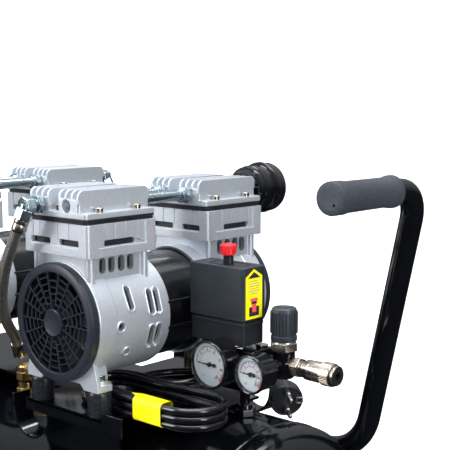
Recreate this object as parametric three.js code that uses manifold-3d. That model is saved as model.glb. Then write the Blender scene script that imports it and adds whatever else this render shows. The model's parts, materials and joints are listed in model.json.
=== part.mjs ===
// A wheeled workshop air compressor: two oil-free twin-cylinder motor pumps on one horizontal tank.
// Millimetres. +X runs along the tank towards the handle, +Y along the pump shafts, +Z is up.
// The front of a pump is its -Y end.
import * as THREE from "three";
import { mergeVertices } from "three/addons/utils/BufferGeometryUtils.js";
import Module from "manifold-3d";

const wasm = await Module();
wasm.setup();

// ---------------------------------------------------------------- driving dimensions
const GAP = 0.3; // left between pieces that touch
const RUNNING_GAP = 0.5; // between turning or sliding faces

const TANK_RADIUS = 148;
const TANK_WALL = 3;
const SHELL_LENGTH = 653;
const DISH_DEPTH = 57;
const GROUND_CLEARANCE = 100;
const PORT_RADIUS = 6.5;

const PLATE = 3;
const PLATFORM_RISE = 12; // platform top above the tank's crown
const UNIT_SPACING = 275;

const MOUNT_HEIGHT = 27;
const MOUNT_RADIUS = 12.5;
const MOUNT_HALF_WIDTH = 47;
const BARREL_RADIUS = 64;
const BARREL_WALL = 5;
const BARREL_BACK = 31; // half the length of stator that shows between the crankcases
const FOOT_RISE = 3.7; // underside of the barrel above the mounts
const NECK_HEIGHT = 7; // neck above the top of the barrel
const BORE_RADIUS = 32;
const JACKET_HEIGHT = 34;
const HEAD_GAP = 78; // between the two heads of one pump
const FLANGE_THICKNESS = 6;
const VALVE_PLATE = 5.4;
const FIN_BLOCK_HEIGHT = 23;
const AIR_PORT_RADIUS = 6.8;
const AIR_PORT_RISE = 12;
const AIR_PORT_OFFSET = 20;
const TUBE_RADIUS = 6.2;
const FILTER_RADIUS = 31.5;

const SHAFT_RADIUS = 7;
const CRANK_THROW = 7;
const ECCENTRIC_RADIUS = 14.5;
const STATOR_BORE = 29.2;
const STATOR_CLEARANCE = 0.6; // between the core and the crankcases
const FAN_CLEARANCE = 9.5; // between the fans' blades and the crankcases

const WHEEL_RADIUS = 88;
const WHEEL_WIDTH = 44;
const AXLE_RADIUS = 8;
const END_SETBACK = 76; // wheels and foot, in from the ends of the shell
const PAD_HEIGHT = 12;

const HANDLE_RADIUS = 12.5;
const HANDLE_REACH = 308; // grip axis above the tube's lower run
const HANDLE_LEAN = 0.213; // outward run per unit of rise
const HANDLE_ANGLE = 0.559; // lower run's place round the tank, up from the far side
const GRIP_RADIUS = 15.5;
const GRIP_LENGTH = 108;

const SWITCH_SIZE = [79, 37, 84];
const SWITCH_RISE = 67; // underside of the switch above the platform
const SWITCH_CLEARANCE = 2; // from the crankcases
const BUTTON_RADIUS = 9;
const TANK_GAUGE_RADIUS = 26;
const OUTLET_GAUGE_RADIUS = 20.5;
const GAUGE_DEPTH = 28;
const AIR_LINE_RISE = 48; // axis of the gauges and coupler above the platform
const KNOB_RADIUS = 14.8;
const COUPLER_RADIUS = 8;

const CORD_RADIUS = 4;
const HANK_RUN = 120; // straight part of the hank
const HANK_TURN = 32; // centre line of the hank's outer fold
const HANK_LAYERS = 3;
const PLUG_RADIUS = 18.5;

// ---------------------------------------------------------------- sizes that follow
const tankAxis = GROUND_CLEARANCE + TANK_RADIUS;
const platformTop = tankAxis + TANK_RADIUS + PLATFORM_RISE;
const shellEnd = SHELL_LENGTH / 2;

const jacketWidth = 2 * (BORE_RADIUS + 20);
const jacketDepth = 2 * (BORE_RADIUS + 16.5);
const headWidth = jacketWidth - 4;
const headDepth = jacketDepth + 1;
const neckWidth = 2 * (BORE_RADIUS + 11);
const neckDepth = 2 * (BORE_RADIUS + 8.5);
const boreY = (HEAD_GAP + headDepth) / 2; // cylinder axis from the middle of the pump
const barrelFront = boreY + neckDepth / 2 + 2.5;
const mountY = barrelFront - 11.5;
const platformDepth = 2 * (mountY + 10.5);

const footTop = MOUNT_HEIGHT + GAP;
const shaftHeight = footTop + FOOT_RISE + BARREL_RADIUS;
const neckTop = shaftHeight + BARREL_RADIUS + NECK_HEIGHT;
const jacketTop = neckTop + GAP + JACKET_HEIGHT;
const headBottom = jacketTop + GAP;
const flangeBottom = headBottom + VALVE_PLATE;
const flangeTop = flangeBottom + FLANGE_THICKNESS;
const headTop = flangeTop + FIN_BLOCK_HEIGHT;
const airPortHeight = flangeBottom + AIR_PORT_RISE;
const pistonLength = jacketTop - 2 - shaftHeight - CRANK_THROW;

// The tank's surface at a distance y from its middle plane, measured from the platform's top.
const tankSurface = (y) => Math.sqrt(TANK_RADIUS ** 2 - y ** 2) - TANK_RADIUS - PLATFORM_RISE;

// ---------------------------------------------------------------- materials
const finish = (color, roughness, metalness) =>
  new THREE.MeshStandardMaterial({ color, roughness, metalness });
const castAluminium = finish(0xc9ccd0, 0.45, 0.9);
const blackPaint = finish(0x0b0d12, 0.15, 0.2);
const blackPlastic = finish(0x23262d, 0.5, 0);
const blackRubber = finish(0x15161a, 0.8, 0);
const steel = finish(0xb4b8bd, 0.35, 1);
const zinc = finish(0x9fb0b8, 0.3, 1);
const nickel = finish(0xb9ada0, 0.3, 1);
const brass = finish(0xb08a45, 0.35, 1);
const braidedSteel = finish(0x8f8a86, 0.45, 0.9);
const redPlastic = finish(0xd9141c, 0.4, 0);
const blackNeedle = finish(0x101010, 0.6, 0);

// ---------------------------------------------------------------- shapes and booleans
// Turns a geometry built round +Y to stand along another axis.
function orient(geometry, axis) {
  if (axis === "x") geometry.rotateZ(-Math.PI / 2);
  if (axis === "z") geometry.rotateX(Math.PI / 2);
  return geometry;
}

function box([x0, x1], [y0, y1], [z0, z1]) {
  const geometry = new THREE.BoxGeometry(x1 - x0, y1 - y0, z1 - z0);
  return geometry.translate((x0 + x1) / 2, (y0 + y1) / 2, (z0 + z1) / 2);
}

// A cylinder, or a cone of [start, end] radii, from the point at, length long.
function rod(axis, radius, length, at, sides = 12) {
  const [start, end] = Array.isArray(radius) ? radius : [radius, radius];
  const geometry = new THREE.CylinderGeometry(end, start, length, sides);
  return orient(geometry.translate(0, length / 2, 0), axis).translate(...at);
}

// A closed profile of [radius, distance along the axis] points, turned round the axis through at.
function turned(axis, profile, at = [0, 0, 0], sides = 20) {
  const points = [...profile, profile[0]].map(([r, along]) => new THREE.Vector2(r, along));
  return orient(new THREE.LatheGeometry(points, sides), axis).translate(...at);
}

// An outline drawn across the axis, as [x, z] for "y" or [x, y] for "z", extruded from one place to another.
function prism(axis, outline, from, to) {
  const shape = new THREE.Shape(outline.map(([a, b]) => new THREE.Vector2(a, b)));
  const geometry = new THREE.ExtrudeGeometry(shape, { depth: to - from, bevelEnabled: false });
  if (axis === "y") return geometry.rotateX(Math.PI / 2).translate(0, to, 0);
  return geometry.translate(0, 0, from);
}

// A round section carried along a smooth curve through the points.
function sweep(points, radius, steps, sides = 8) {
  const path = new THREE.CatmullRomCurve3(
    points.map((point) => new THREE.Vector3(...point)),
    false,
    "centripetal",
  );
  const circle = arc(0, 0, radius, 0, 2 * Math.PI, sides).slice(1);
  const section = new THREE.Shape(circle.map(([a, b]) => new THREE.Vector2(a, b)));
  return new THREE.ExtrudeGeometry(section, { steps, extrudePath: path, bevelEnabled: false });
}

// Points on an arc, both ends included.
function arc(x, y, radius, from, to, steps) {
  const at = (i) => from + ((to - from) * i) / steps;
  return Array.from({ length: steps + 1 }, (_, i) => [
    x + radius * Math.cos(at(i)),
    y + radius * Math.sin(at(i)),
  ]);
}

// The points of a path with straight runs between corners, each corner rounded to its radius.
function roundedPath(corners, radii, steps = 4) {
  const path = [corners[0]];
  for (let i = 1; i < corners.length - 1; i++) {
    const corner = new THREE.Vector3(...corners[i]);
    const back = new THREE.Vector3(...corners[i - 1]).sub(corner).normalize();
    const ahead = new THREE.Vector3(...corners[i + 1]).sub(corner).normalize();
    const half = back.angleTo(ahead) / 2;
    const reach = radii[i - 1] / Math.tan(half);
    const curve = back.clone().add(ahead).normalize();
    const centre = corner.clone().addScaledVector(curve, radii[i - 1] / Math.sin(half));
    const start = corner.clone().addScaledVector(back, reach).sub(centre);
    const end = corner.clone().addScaledVector(ahead, reach).sub(centre);
    const sweepAngle = start.angleTo(end);
    path.push(corner.clone().addScaledVector(back, reach + 12).toArray());
    for (let k = 0; k <= steps; k++) {
      const share = k / steps;
      const a = Math.sin((1 - share) * sweepAngle) / Math.sin(sweepAngle);
      const b = Math.sin(share * sweepAngle) / Math.sin(sweepAngle);
      const spoke = start.clone().multiplyScalar(a).addScaledVector(end, b);
      path.push(spoke.add(centre).toArray());
    }
    path.push(corner.clone().addScaledVector(ahead, reach + 12).toArray());
  }
  path.push(corners[corners.length - 1]);
  return path;
}

// A closed geometry as a solid that can be joined and cut.
function solid(shape) {
  if (!shape.isBufferGeometry) return shape;
  const bare = shape.index ? shape.toNonIndexed() : shape.clone();
  bare.deleteAttribute("normal");
  bare.deleteAttribute("uv");
  const merged = mergeVertices(bare, 1e-4);
  const corners = merged.index.array;
  const faces = [];
  for (let i = 0; i < corners.length; i += 3) {
    const [a, b, c] = corners.slice(i, i + 3);
    if (a !== b && b !== c && c !== a) faces.push(a, b, c);
  }
  const vertProperties = merged.attributes.position.array;
  const make = () =>
    new wasm.Manifold(
      new wasm.Mesh({ numProp: 3, vertProperties, triVerts: new Uint32Array(faces) }),
    );
  const made = make();
  if (made.volume() > 0) return made;
  faces.reverse();
  return make();
}

const join = (...shapes) => shapes.map(solid).reduce((whole, next) => whole.add(next));
const cut = (shape, ...tools) => tools.map(solid).reduce((left, tool) => left.subtract(tool), solid(shape));

function piece(name, shape, material) {
  const { vertProperties, triVerts } = solid(shape).getMesh();
  const geometry = new THREE.BufferGeometry();
  geometry.setAttribute("position", new THREE.BufferAttribute(vertProperties, 3));
  geometry.setIndex(new THREE.BufferAttribute(triVerts, 1));
  geometry.computeVertexNormals();
  const mesh = new THREE.Mesh(geometry, material);
  mesh.name = name;
  return mesh;
}

const repeat = (count, make) => Array.from({ length: count }, (_, i) => make(i));

// ---------------------------------------------------------------- one end of a pump, built at the front
const BARREL_SIDES = 20;
const COVER_RIBS = 6;

function crankcase() {
  const wallBack = BARREL_BACK + 15;
  const wallFront = wallBack + 4;
  const barrelAt = (y) => [0, y, shaftHeight];
  const footWidth = MOUNT_HALF_WIDTH + 11;
  const footOutline = [
    [-footWidth, footTop],
    [-36, footTop],
    [-30, footTop + FOOT_RISE + 2],
    [30, footTop + FOOT_RISE + 2],
    [36, footTop],
    [footWidth, footTop],
    [footWidth, footTop + 9],
    [BARREL_RADIUS - 16, shaftHeight - 25],
    [16 - BARREL_RADIUS, shaftHeight - 25],
    [-footWidth, footTop + 9],
  ];
  const neckAcross = [-neckWidth / 2, neckWidth / 2];
  const neckAlong = [-boreY - neckDepth / 2, -boreY + neckDepth / 2];
  const body = join(
    rod("y", BARREL_RADIUS, barrelFront - BARREL_BACK, barrelAt(-barrelFront), BARREL_SIDES),
    box(neckAcross, neckAlong, [shaftHeight, neckTop]),
    prism("y", footOutline, -barrelFront, -barrelFront + 22),
  );
  const inner = BARREL_RADIUS - BARREL_WALL;
  const hollow = cut(
    body,
    rod("y", inner, barrelFront - wallFront + 1, barrelAt(-barrelFront - 1), BARREL_SIDES),
    rod("y", inner, wallBack - BARREL_BACK + 1, barrelAt(-wallBack), BARREL_SIDES),
    box(
      [neckAcross[0] + 6, neckAcross[1] - 6],
      [neckAlong[0] + 6, neckAlong[1] - 6],
      [shaftHeight, neckTop - 5],
    ),
    rod("z", BORE_RADIUS + 1, 7, [0, -boreY, neckTop - 6], 20),
  );
  const bearing = rod("y", 18, wallFront + 8 - wallBack, barrelAt(-wallFront - 8));
  const shaftHole = rod("y", SHAFT_RADIUS + RUNNING_GAP, 20, barrelAt(-wallFront - 12));
  const neckVents = repeat(4, (i) => {
    const y = -boreY + 10.5 * (i - 1.5);
    return box([-neckWidth, neckWidth], [y - 3.2, y + 3.2], [neckTop - 23, neckTop - 5]);
  });
  const barrelVents = [-1, 1].map((side) => {
    const z = shaftHeight + side * 19;
    const y = -BARREL_BACK - 8;
    return box([-BARREL_RADIUS - 1, BARREL_RADIUS + 1], [y - 5, y + 5], [z - 13, z + 13]);
  });
  return cut(join(hollow, bearing), shaftHole, ...neckVents, ...barrelVents);
}

function fanCover() {
  const depth = 9.7;
  const outer = BARREL_RADIUS - 1;
  const opening = outer - 9.5;
  const front = [0, -barrelFront - GAP - depth, shaftHeight];
  const ring = turned(
    "y",
    [
      [opening, 0],
      [outer, 0],
      [outer, depth],
      [outer - 3, depth],
      [outer - 3, 3],
      [opening, 3],
    ],
    front,
    BARREL_SIDES,
  );
  const hub = rod("y", 14.5, 4, [front[0], front[1] - 1, front[2]], 16);
  const ribs = repeat(COVER_RIBS, (i) =>
    box([12, opening + 1], [0, 3], [-0.9, 0.9])
      .rotateY((i * 2 * Math.PI) / COVER_RIBS)
      .translate(...front),
  );
  return join(ring, hub, ...ribs);
}

function cylinderJacket() {
  const bottom = neckTop + GAP;
  const across = [-jacketWidth / 2, jacketWidth / 2];
  const along = [-boreY - jacketDepth / 2, -boreY + jacketDepth / 2];
  const windowDepth = 9;
  const windowSpan = [bottom + 11, bottom + 18];
  const body = box(across, along, [bottom, jacketTop]);
  const sideWindows = [
    [across[0] - 1, across[0] + windowDepth],
    [across[1] - windowDepth, across[1] + 1],
  ].map((span) => box(span, [-boreY - 22, -boreY + 16], windowSpan));
  const endWindows = [
    [along[0] - 1, along[0] + windowDepth],
    [along[1] - windowDepth, along[1] + 1],
  ].flatMap((span) => [box([-38, -13], span, windowSpan), box([0, 28], span, windowSpan)]);
  const bore = rod("z", BORE_RADIUS, JACKET_HEIGHT + 2, [0, -boreY, bottom - 1], 20);
  return cut(body, bore, ...sideWindows, ...endWindows);
}

function cylinderHead() {
  const along = [-boreY - headDepth / 2, -boreY + headDepth / 2];
  const blockHalf = headWidth / 2 - 10.5;
  const fin = 3;
  const body = join(
    box([-headWidth / 2, headWidth / 2], along, [headBottom, flangeTop]),
    box([-blockHalf, blockHalf], along, [flangeBottom, headTop]),
  );
  const channel = 8; // half the middle channel's width
  const pitch = (blockHalf - channel - fin) / 3;
  const slots = repeat(3, (i) => channel + fin + i * pitch).flatMap((start) => {
    const slot = [airPortHeight + AIR_PORT_RADIUS + 1, headTop + 1];
    const end = start + pitch - fin;
    return [
      box([start, end], [along[0] - 1, along[1] + 1], slot),
      box([-end, -start], [along[0] - 1, along[1] + 1], slot),
    ];
  });
  const middle = box([-channel, channel], [along[0] - 1, along[1] + 1], [flangeTop + 12, headTop + 1]);
  const pockets = [along[0] - 1, along[1] - 19].map((y) =>
    box([-channel, channel], [y, y + 20], [flangeTop, headTop]),
  );
  const portDepth = 12;
  const ports = [-AIR_PORT_OFFSET, AIR_PORT_OFFSET].flatMap((x) => [
    rod("y", AIR_PORT_RADIUS, portDepth + 1, [x, along[0] - 1, airPortHeight], 10),
    rod("y", AIR_PORT_RADIUS, portDepth + 1, [x, along[1] - portDepth, airPortHeight], 10),
  ]);
  const screws = [-1, 1].flatMap((sideX) =>
    [-1, 1].map((sideY) => {
      const at = [sideX * (blockHalf + 5), -boreY + sideY * 24, flangeTop - 1];
      return rod("z", 4, 6, at, 6);
    }),
  );
  return join(cut(body, ...slots, middle, ...pockets, ...ports), ...screws);
}

// A wobble piston with its rod in one piece, drawn with its crank pin at the origin.
function piston() {
  const eye = ECCENTRIC_RADIUS + RUNNING_GAP;
  const crown = BORE_RADIUS - CRANK_THROW - 1;
  const ring = turned("y", [[eye, -6], [eye + 6, -6], [eye + 6, 6], [eye, 6]]);
  const arm = box([-8, 8], [-5, 5], [eye + 3, pistonLength - 4]);
  const disc = rod("z", crown, 8, [0, 0, pistonLength - 8], 16);
  return join(ring, arm, disc);
}

function pumpEnd(unit, end) {
  const group = new THREE.Group();
  group.add(
    piece(`crankcase_${end}_${unit}`, crankcase(), castAluminium),
    piece(`fan_cover_${end}_${unit}`, fanCover(), blackPlastic),
    piece(`cylinder_${end}_${unit}`, cylinderJacket(), castAluminium),
    piece(`head_${end}_${unit}`, cylinderHead(), castAluminium),
  );
  const wobblePiston = piece(`piston_${end}_${unit}`, piston(), castAluminium);
  const crankSide = end === "front" ? 1 : -1;
  wobblePiston.position.set(0, -boreY, shaftHeight + crankSide * CRANK_THROW);
  group.add(wobblePiston);
  return group;
}

// ---------------------------------------------------------------- one pump
const FAN_BLADES = 5;

// Shaft, laminated core, eccentrics with counterweights and a fan at each end, pressed together.
function rotor() {
  const shaftEnd = barrelFront - 3;
  const parts = [
    rod("y", SHAFT_RADIUS, 2 * shaftEnd, [0, -shaftEnd, 0]),
    rod("y", STATOR_BORE - 1.2, 76, [0, -38, 0], BARREL_SIDES),
  ];
  for (const side of [-1, 1]) {
    const up = -side;
    parts.push(
      rod("y", ECCENTRIC_RADIUS, 14, [0, side * boreY - 7, up * CRANK_THROW], 20),
      counterweight(up).translate(0, side * (boreY - 11) - 3, 0),
      rod("y", 12, 18, [0, side * (shaftEnd - 10) - 9, 0], 10),
      ...repeat(FAN_BLADES, (i) => fanBlade(i).translate(0, side * (shaftEnd - 10), 0)),
    );
  }
  return join(...parts);
}

// A half disc on the side away from the crank pin.
function counterweight(up) {
  const from = up > 0 ? Math.PI : 0;
  return prism("y", arc(0, 0, 26, from, from + Math.PI, 6), 0, 6);
}

function fanBlade(i) {
  const root = 10.5;
  const tip = BARREL_RADIUS - BARREL_WALL - FAN_CLEARANCE;
  const blade = new THREE.BoxGeometry(tip - root, 14, 1.8);
  blade.rotateX(0.6).translate((root + tip) / 2, 0, 0);
  return blade.rotateY((i * 2 * Math.PI) / FAN_BLADES);
}

function stator() {
  const half = BARREL_BACK + 14;
  const outer = BARREL_RADIUS - BARREL_WALL - STATOR_CLEARANCE;
  const profile = [
    [STATOR_BORE, -half],
    [outer, -half],
    [outer, half],
    [STATOR_BORE, half],
  ];
  return turned("y", profile, [0, 0, shaftHeight], BARREL_SIDES);
}

function intakeFilter() {
  const face = boreY + headDepth / 2;
  const rim = FILTER_RADIUS;
  const profile = [
    [0, -8],
    [TUBE_RADIUS, -8],
    [TUBE_RADIUS, 3],
    [rim - 6, 5],
    [rim - 4.5, 8],
    [rim - 4.5, 30],
    [rim, 32],
    [rim, 46],
    [rim - 4, 50],
    [0, 50],
  ];
  return turned("y", profile, [AIR_PORT_OFFSET, face, airPortHeight], 18);
}

// Four rubber buffers, held together by a thin web on the platform.
function rubberMounts() {
  const corners = [-1, 1].flatMap((sideX) =>
    [-1, 1].map((sideY) => [sideX * MOUNT_HALF_WIDTH, sideY * mountY]),
  );
  const buffers = corners.map(([x, y]) => rod("z", MOUNT_RADIUS, MOUNT_HEIGHT - GAP, [x, y, GAP]));
  const webHeight = [GAP, 2];
  const across = [-mountY, mountY].map((y) =>
    box([-MOUNT_HALF_WIDTH, MOUNT_HALF_WIDTH], [y - 3, y + 3], webHeight),
  );
  const alongY = box([-MOUNT_HALF_WIDTH - 10, -MOUNT_HALF_WIDTH - 4], [-mountY, mountY], webHeight);
  return join(...buffers, ...across, alongY);
}

function pumpUnit(unit) {
  const group = new THREE.Group();
  const rear = pumpEnd(unit, "rear");
  rear.rotation.z = Math.PI;
  group.add(pumpEnd(unit, "front"), rear);

  const turning = piece(`rotor_${unit}`, rotor(), steel);
  turning.position.z = shaftHeight;
  const tubeHalf = HEAD_GAP / 2 + 8;
  const tube = (side, x) => {
    const shape = rod("y", TUBE_RADIUS, 2 * tubeHalf, [x, -tubeHalf, airPortHeight]);
    return piece(`transfer_tube_${side}_${unit}`, shape, zinc);
  };
  group.add(
    turning,
    piece(`stator_${unit}`, stator(), blackPaint),
    tube("left", -AIR_PORT_OFFSET),
    tube("right", AIR_PORT_OFFSET),
    piece(`intake_filter_${unit}`, intakeFilter(), blackPlastic),
    piece(`rubber_mounts_${unit}`, rubberMounts(), blackRubber),
  );
  return group;
}

// ---------------------------------------------------------------- tank, running gear and handle
const TANK_SIDES = 30;
const wheelX = -(shellEnd - END_SETBACK);
const footX = shellEnd - END_SETBACK;
const wheelY = TANK_RADIUS - 5 + WHEEL_WIDTH / 2;
const tankBlank = (margin) =>
  rod("x", TANK_RADIUS + margin, SHELL_LENGTH, [-shellEnd, 0, tankAxis], TANK_SIDES);

// Places of the tank's three ports, in the assembly's frame.
const riserAt = [UNIT_SPACING / 2 + BARREL_RADIUS + 69, 12];
const checkValveAt = [-12.5, -80];
const drainAt = [0, 0];

function tankBody(radius, depth) {
  const quarter = arc(0, 0, 1, 0, Math.PI / 2, 4);
  const right = quarter.map(([c, s]) => [radius * c, shellEnd + depth * s]);
  const left = right.map(([r, along]) => [r, -along]).reverse();
  const profile = [...left, ...right];
  return turned("x", profile, [0, 0, tankAxis], TANK_SIDES);
}

function tank() {
  const upward = (at) => rod("z", PORT_RADIUS, TANK_RADIUS + 5, [...at, tankAxis]);
  const downward = rod("z", PORT_RADIUS, TANK_RADIUS + 5, [...drainAt, GROUND_CLEARANCE - 5]);
  return cut(
    tankBody(TANK_RADIUS, DISH_DEPTH),
    tankBody(TANK_RADIUS - TANK_WALL, DISH_DEPTH - TANK_WALL),
    upward(riserAt),
    upward(checkValveAt),
    downward,
  );
}

// The bent steel platform under both pumps, with lips, legs and half-round gussets.
function saddle() {
  const half = platformDepth / 2;
  const plate = [-PLATE, 0];
  const wingHalf = MOUNT_HALF_WIDTH + 18;
  const lipOutline = [
    [-wingHalf, 0],
    [-wingHalf, -13],
    [wingHalf + 26, -13],
    [wingHalf + 26, 8],
    [wingHalf - 2, 8],
    [wingHalf - 2, 0],
  ];
  const gussetX = -60;
  const gussetZ = -14;
  const gusset = [
    [gussetX - 33, -PLATE / 2],
    ...arc(gussetX, gussetZ, 33, Math.PI, 2 * Math.PI, 6),
    [gussetX + 33, -PLATE / 2],
    [gussetX + 30, -PLATE / 2],
    ...arc(gussetX, gussetZ, 30, 2 * Math.PI, Math.PI, 6),
    [gussetX - 30, -PLATE / 2],
  ];
  const legY = mountY - 15;
  const edge = () => [
    prism("y", lipOutline, -half, -half + PLATE),
    prism("y", gusset, -half + 2, -legY),
    box([5 - wingHalf, wingHalf - 5], [-legY - PLATE / 2, -legY + PLATE / 2], [tankSurface(legY + 2), -1]),
  ];
  const parts = [-1, 1].flatMap((side) => {
    const x = (side * UNIT_SPACING) / 2;
    return [
      box([x - wingHalf, x + wingHalf], [-half, half], plate),
      ...edge().map((shape) => shape.translate(x, 0, 0)),
      ...edge().map((shape) => shape.rotateZ(Math.PI).translate(x, 0, 0)),
    ];
  });
  const spineEnd = UNIT_SPACING / 2 + wingHalf;
  parts.push(
    box([-spineEnd, riserAt[0] - PORT_RADIUS - 2], [-78, 45], plate),
    box([-spineEnd, spineEnd + 30], [-24, 24], [-PLATFORM_RISE - 3, -PLATE + 1]),
  );
  const valveHole = rod("z", 14, 60, [...checkValveAt, -50]);
  return cut(join(...parts), tankBlank(GAP).translate(0, 0, -platformTop), valveHole);
}

// Cradle under the tank with the axle through it and a cap on each end.
function axle() {
  const end = wheelY + WHEEL_WIDTH / 2 + RUNNING_GAP;
  const capLength = 4;
  const body = join(
    box([wheelX - 16, wheelX + 16], [-70, 70], [WHEEL_RADIUS - 12, GROUND_CLEARANCE + 30]),
    rod("y", AXLE_RADIUS, 2 * end + 2, [wheelX, -end - 1, WHEEL_RADIUS]),
    rod("y", 14, capLength, [wheelX, end, WHEEL_RADIUS]),
    rod("y", 14, capLength, [wheelX, -end - capLength, WHEEL_RADIUS]),
  );
  return cut(body, tankBlank(GAP));
}

function wheel() {
  const half = WHEEL_WIDTH / 2;
  const bore = AXLE_RADIUS + RUNNING_GAP;
  const profile = [
    [bore, -half],
    [24, -half],
    [26, -8],
    [58, -8],
    [62, -half],
    [WHEEL_RADIUS, -half + 9],
    [WHEEL_RADIUS, half - 9],
    [62, half],
    [58, 8],
    [26, 8],
    [24, half],
    [bore, half],
  ];
  return turned("y", profile);
}

function frontFoot() {
  const body = join(
    box([footX - 20, footX + 20], [-32, 32], [PAD_HEIGHT, GROUND_CLEARANCE + 8]),
    box([footX - 23, footX + 23], [-95, 95], [PAD_HEIGHT, PAD_HEIGHT + 4]),
  );
  return cut(body, tankBlank(GAP));
}

const footPad = () => box([footX - 25, footX + 25], [-97, 97], [0, PAD_HEIGHT - GAP]);

// Place of the handle tube's lower run, its foot against the far side of the tank.
const handleReach = TANK_RADIUS + HANDLE_RADIUS + GAP + 0.2;
const handleY = handleReach * Math.cos(HANDLE_ANGLE);
const handleZ = tankAxis + handleReach * Math.sin(HANDLE_ANGLE);
const handleX = shellEnd + 11; // corner where the tube turns up
const gripZ = handleZ + HANDLE_REACH;
const gripX = handleX + HANDLE_LEAN * HANDLE_REACH;
const gripEnd = -22;

function handleTube() {
  const corners = [
    [handleX - 150, handleY, handleZ],
    [handleX, handleY, handleZ],
    [gripX, handleY, gripZ],
    [gripX, gripEnd + 8, gripZ],
  ];
  return sweep(roundedPath(corners, [60, 36], 4), HANDLE_RADIUS, 26, 10);
}

function handleGrip() {
  const bore = HANDLE_RADIUS + 0.4;
  const profile = [
    [0, 0],
    [GRIP_RADIUS + 1, 0],
    [GRIP_RADIUS + 1, 6],
    [GRIP_RADIUS, 9],
    [GRIP_RADIUS, GRIP_LENGTH - 9],
    [GRIP_RADIUS + 1.5, GRIP_LENGTH - 5],
    [GRIP_RADIUS + 1.5, GRIP_LENGTH],
    [bore, GRIP_LENGTH],
    [bore, 7],
    [0, 7],
  ];
  return turned("y", profile, [gripX, gripEnd, gripZ], 16);
}

// ---------------------------------------------------------------- pressure switch, gauges, air outlet
// Drawn from the middle of the right-hand pump, on the platform's top.
const switchX = BARREL_RADIUS + SWITCH_CLEARANCE;
const switchY = 13.5;
const switchTop = SWITCH_RISE + SWITCH_SIZE[2];
const buttonAt = [switchX + 41, switchY + 0.5];
const manifoldEnd = switchX + 86;
const regulatorAt = [manifoldEnd + 21, 28];
const tankGaugeX = switchX + 52;
const stemRadius = 5;

function pressureSwitch() {
  const [length, width, height] = SWITCH_SIZE;
  const across = [switchX, switchX + length];
  const along = [switchY - width / 2, switchY + width / 2];
  const inset = 1.5;
  const seam = SWITCH_RISE + 26;
  const cover = box(across, along, [seam, SWITCH_RISE + height]);
  const base = box(
    [across[0] + inset, across[1] - inset],
    [along[0] + inset, along[1] - inset],
    [SWITCH_RISE, seam + 1],
  );
  const gland = rod("z", 8, 13, [switchX + 14, switchY, SWITCH_RISE - 12], 12);
  const buttonHole = rod("z", 6 + RUNNING_GAP, 12, [...buttonAt, switchTop - 11]);
  return cut(join(cover, base, gland), buttonHole);
}

function switchButton() {
  return join(
    rod("z", 6, 14, [...buttonAt, switchTop - 2.6]),
    turned(
      "z",
      [
        [0, 0],
        [BUTTON_RADIUS - 1, 0],
        [BUTTON_RADIUS, 2],
        [BUTTON_RADIUS, 10],
        [BUTTON_RADIUS - 1.5, 12],
        [0, 12],
      ],
      [...buttonAt, switchTop + 9],
      16,
    ),
  );
}

// Riser from the tank, the block that it feeds and the neck that carries the switch.
function manifold() {
  const [riserX, riserY] = [riserAt[0] - UNIT_SPACING / 2, riserAt[1]];
  const bottom = AIR_LINE_RISE - 10;
  const top = AIR_LINE_RISE + 14;
  const riserFoot = tankSurface(riserY) - 7;
  return join(
    box([tankGaugeX - 10, manifoldEnd], [riserY - 10, riserY + 26], [bottom, top]),
    rod("z", 10, SWITCH_RISE - GAP - top + 1, [riserX - 15, switchY, top - 1], 6),
    rod("z", PORT_RADIUS - 1, bottom - riserFoot + 1, [riserX, riserY, riserFoot]),
  );
}

// A gauge case, open at the dial, with its stem behind. The face is at the origin and looks to -Y.
function gauge(radius, stemLength) {
  const dial = 5;
  return turned("y", [
    [0, dial],
    [radius - 3, dial],
    [radius - 3, 0],
    [radius, 0],
    [radius, 4],
    [radius - 1.5, 5],
    [radius - 1.5, GAUGE_DEPTH],
    [stemRadius, GAUGE_DEPTH],
    [stemRadius, GAUGE_DEPTH + stemLength],
    [0, GAUGE_DEPTH + stemLength],
  ]);
}

// A needle that points to -X, on its hub, standing just clear of the dial.
function needle(radius) {
  const reach = radius - 6;
  const outline = [
    [-reach, 0],
    [0, 1.4],
    [reach * 0.45, 1.8],
    [reach * 0.45, -1.8],
    [0, -1.4],
  ];
  return join(prism("y", outline, 3, 4), rod("y", 2.6, 2.2, [0, 2.4, 0], 10));
}

function regulatorBody() {
  const [x, y] = regulatorAt;
  const z = AIR_LINE_RISE;
  return join(
    rod("z", 12, 30, [x, y, z - 14]),
    rod("z", 15.5, 10, [x, y, z + 15.5], 6),
    rod("z", 8, 12, [x, y, z + 24], 12),
    rod("x", 8, x - manifoldEnd - GAP, [manifoldEnd + GAP, y, z], 12),
    rod("x", 9, 14, [x, y, z], 12),
  );
}

// A ribbed knob that caps the regulator's stem.
function regulatorKnob() {
  const [x, y] = regulatorAt;
  const bottom = AIR_LINE_RISE + 26;
  return turned(
    "z",
    [
      [0, 12],
      [8 + RUNNING_GAP, 12],
      [8 + RUNNING_GAP, 0],
      [KNOB_RADIUS - 1, 0],
      [KNOB_RADIUS - 1, 7],
      [KNOB_RADIUS, 8],
      [KNOB_RADIUS, 34],
      [KNOB_RADIUS - 2, 36],
      [0, 36],
    ],
    [x, y, bottom],
  );
}

const couplerStart = regulatorAt[0] + 14 + GAP;
const couplerLength = 56;
const sleeveStart = couplerStart + 17;

function couplerBody() {
  const [, y] = regulatorAt;
  const at = (x) => [x, y, AIR_LINE_RISE];
  const body = join(
    rod("x", 11, 10, at(couplerStart), 6),
    rod("x", COUPLER_RADIUS, couplerLength - 9, at(couplerStart + 9)),
    rod("x", COUPLER_RADIUS + 2.5, 4, at(couplerStart + couplerLength - 4)),
  );
  return cut(body, rod("x", 4.6, 27, at(couplerStart + couplerLength - 26)));
}

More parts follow.
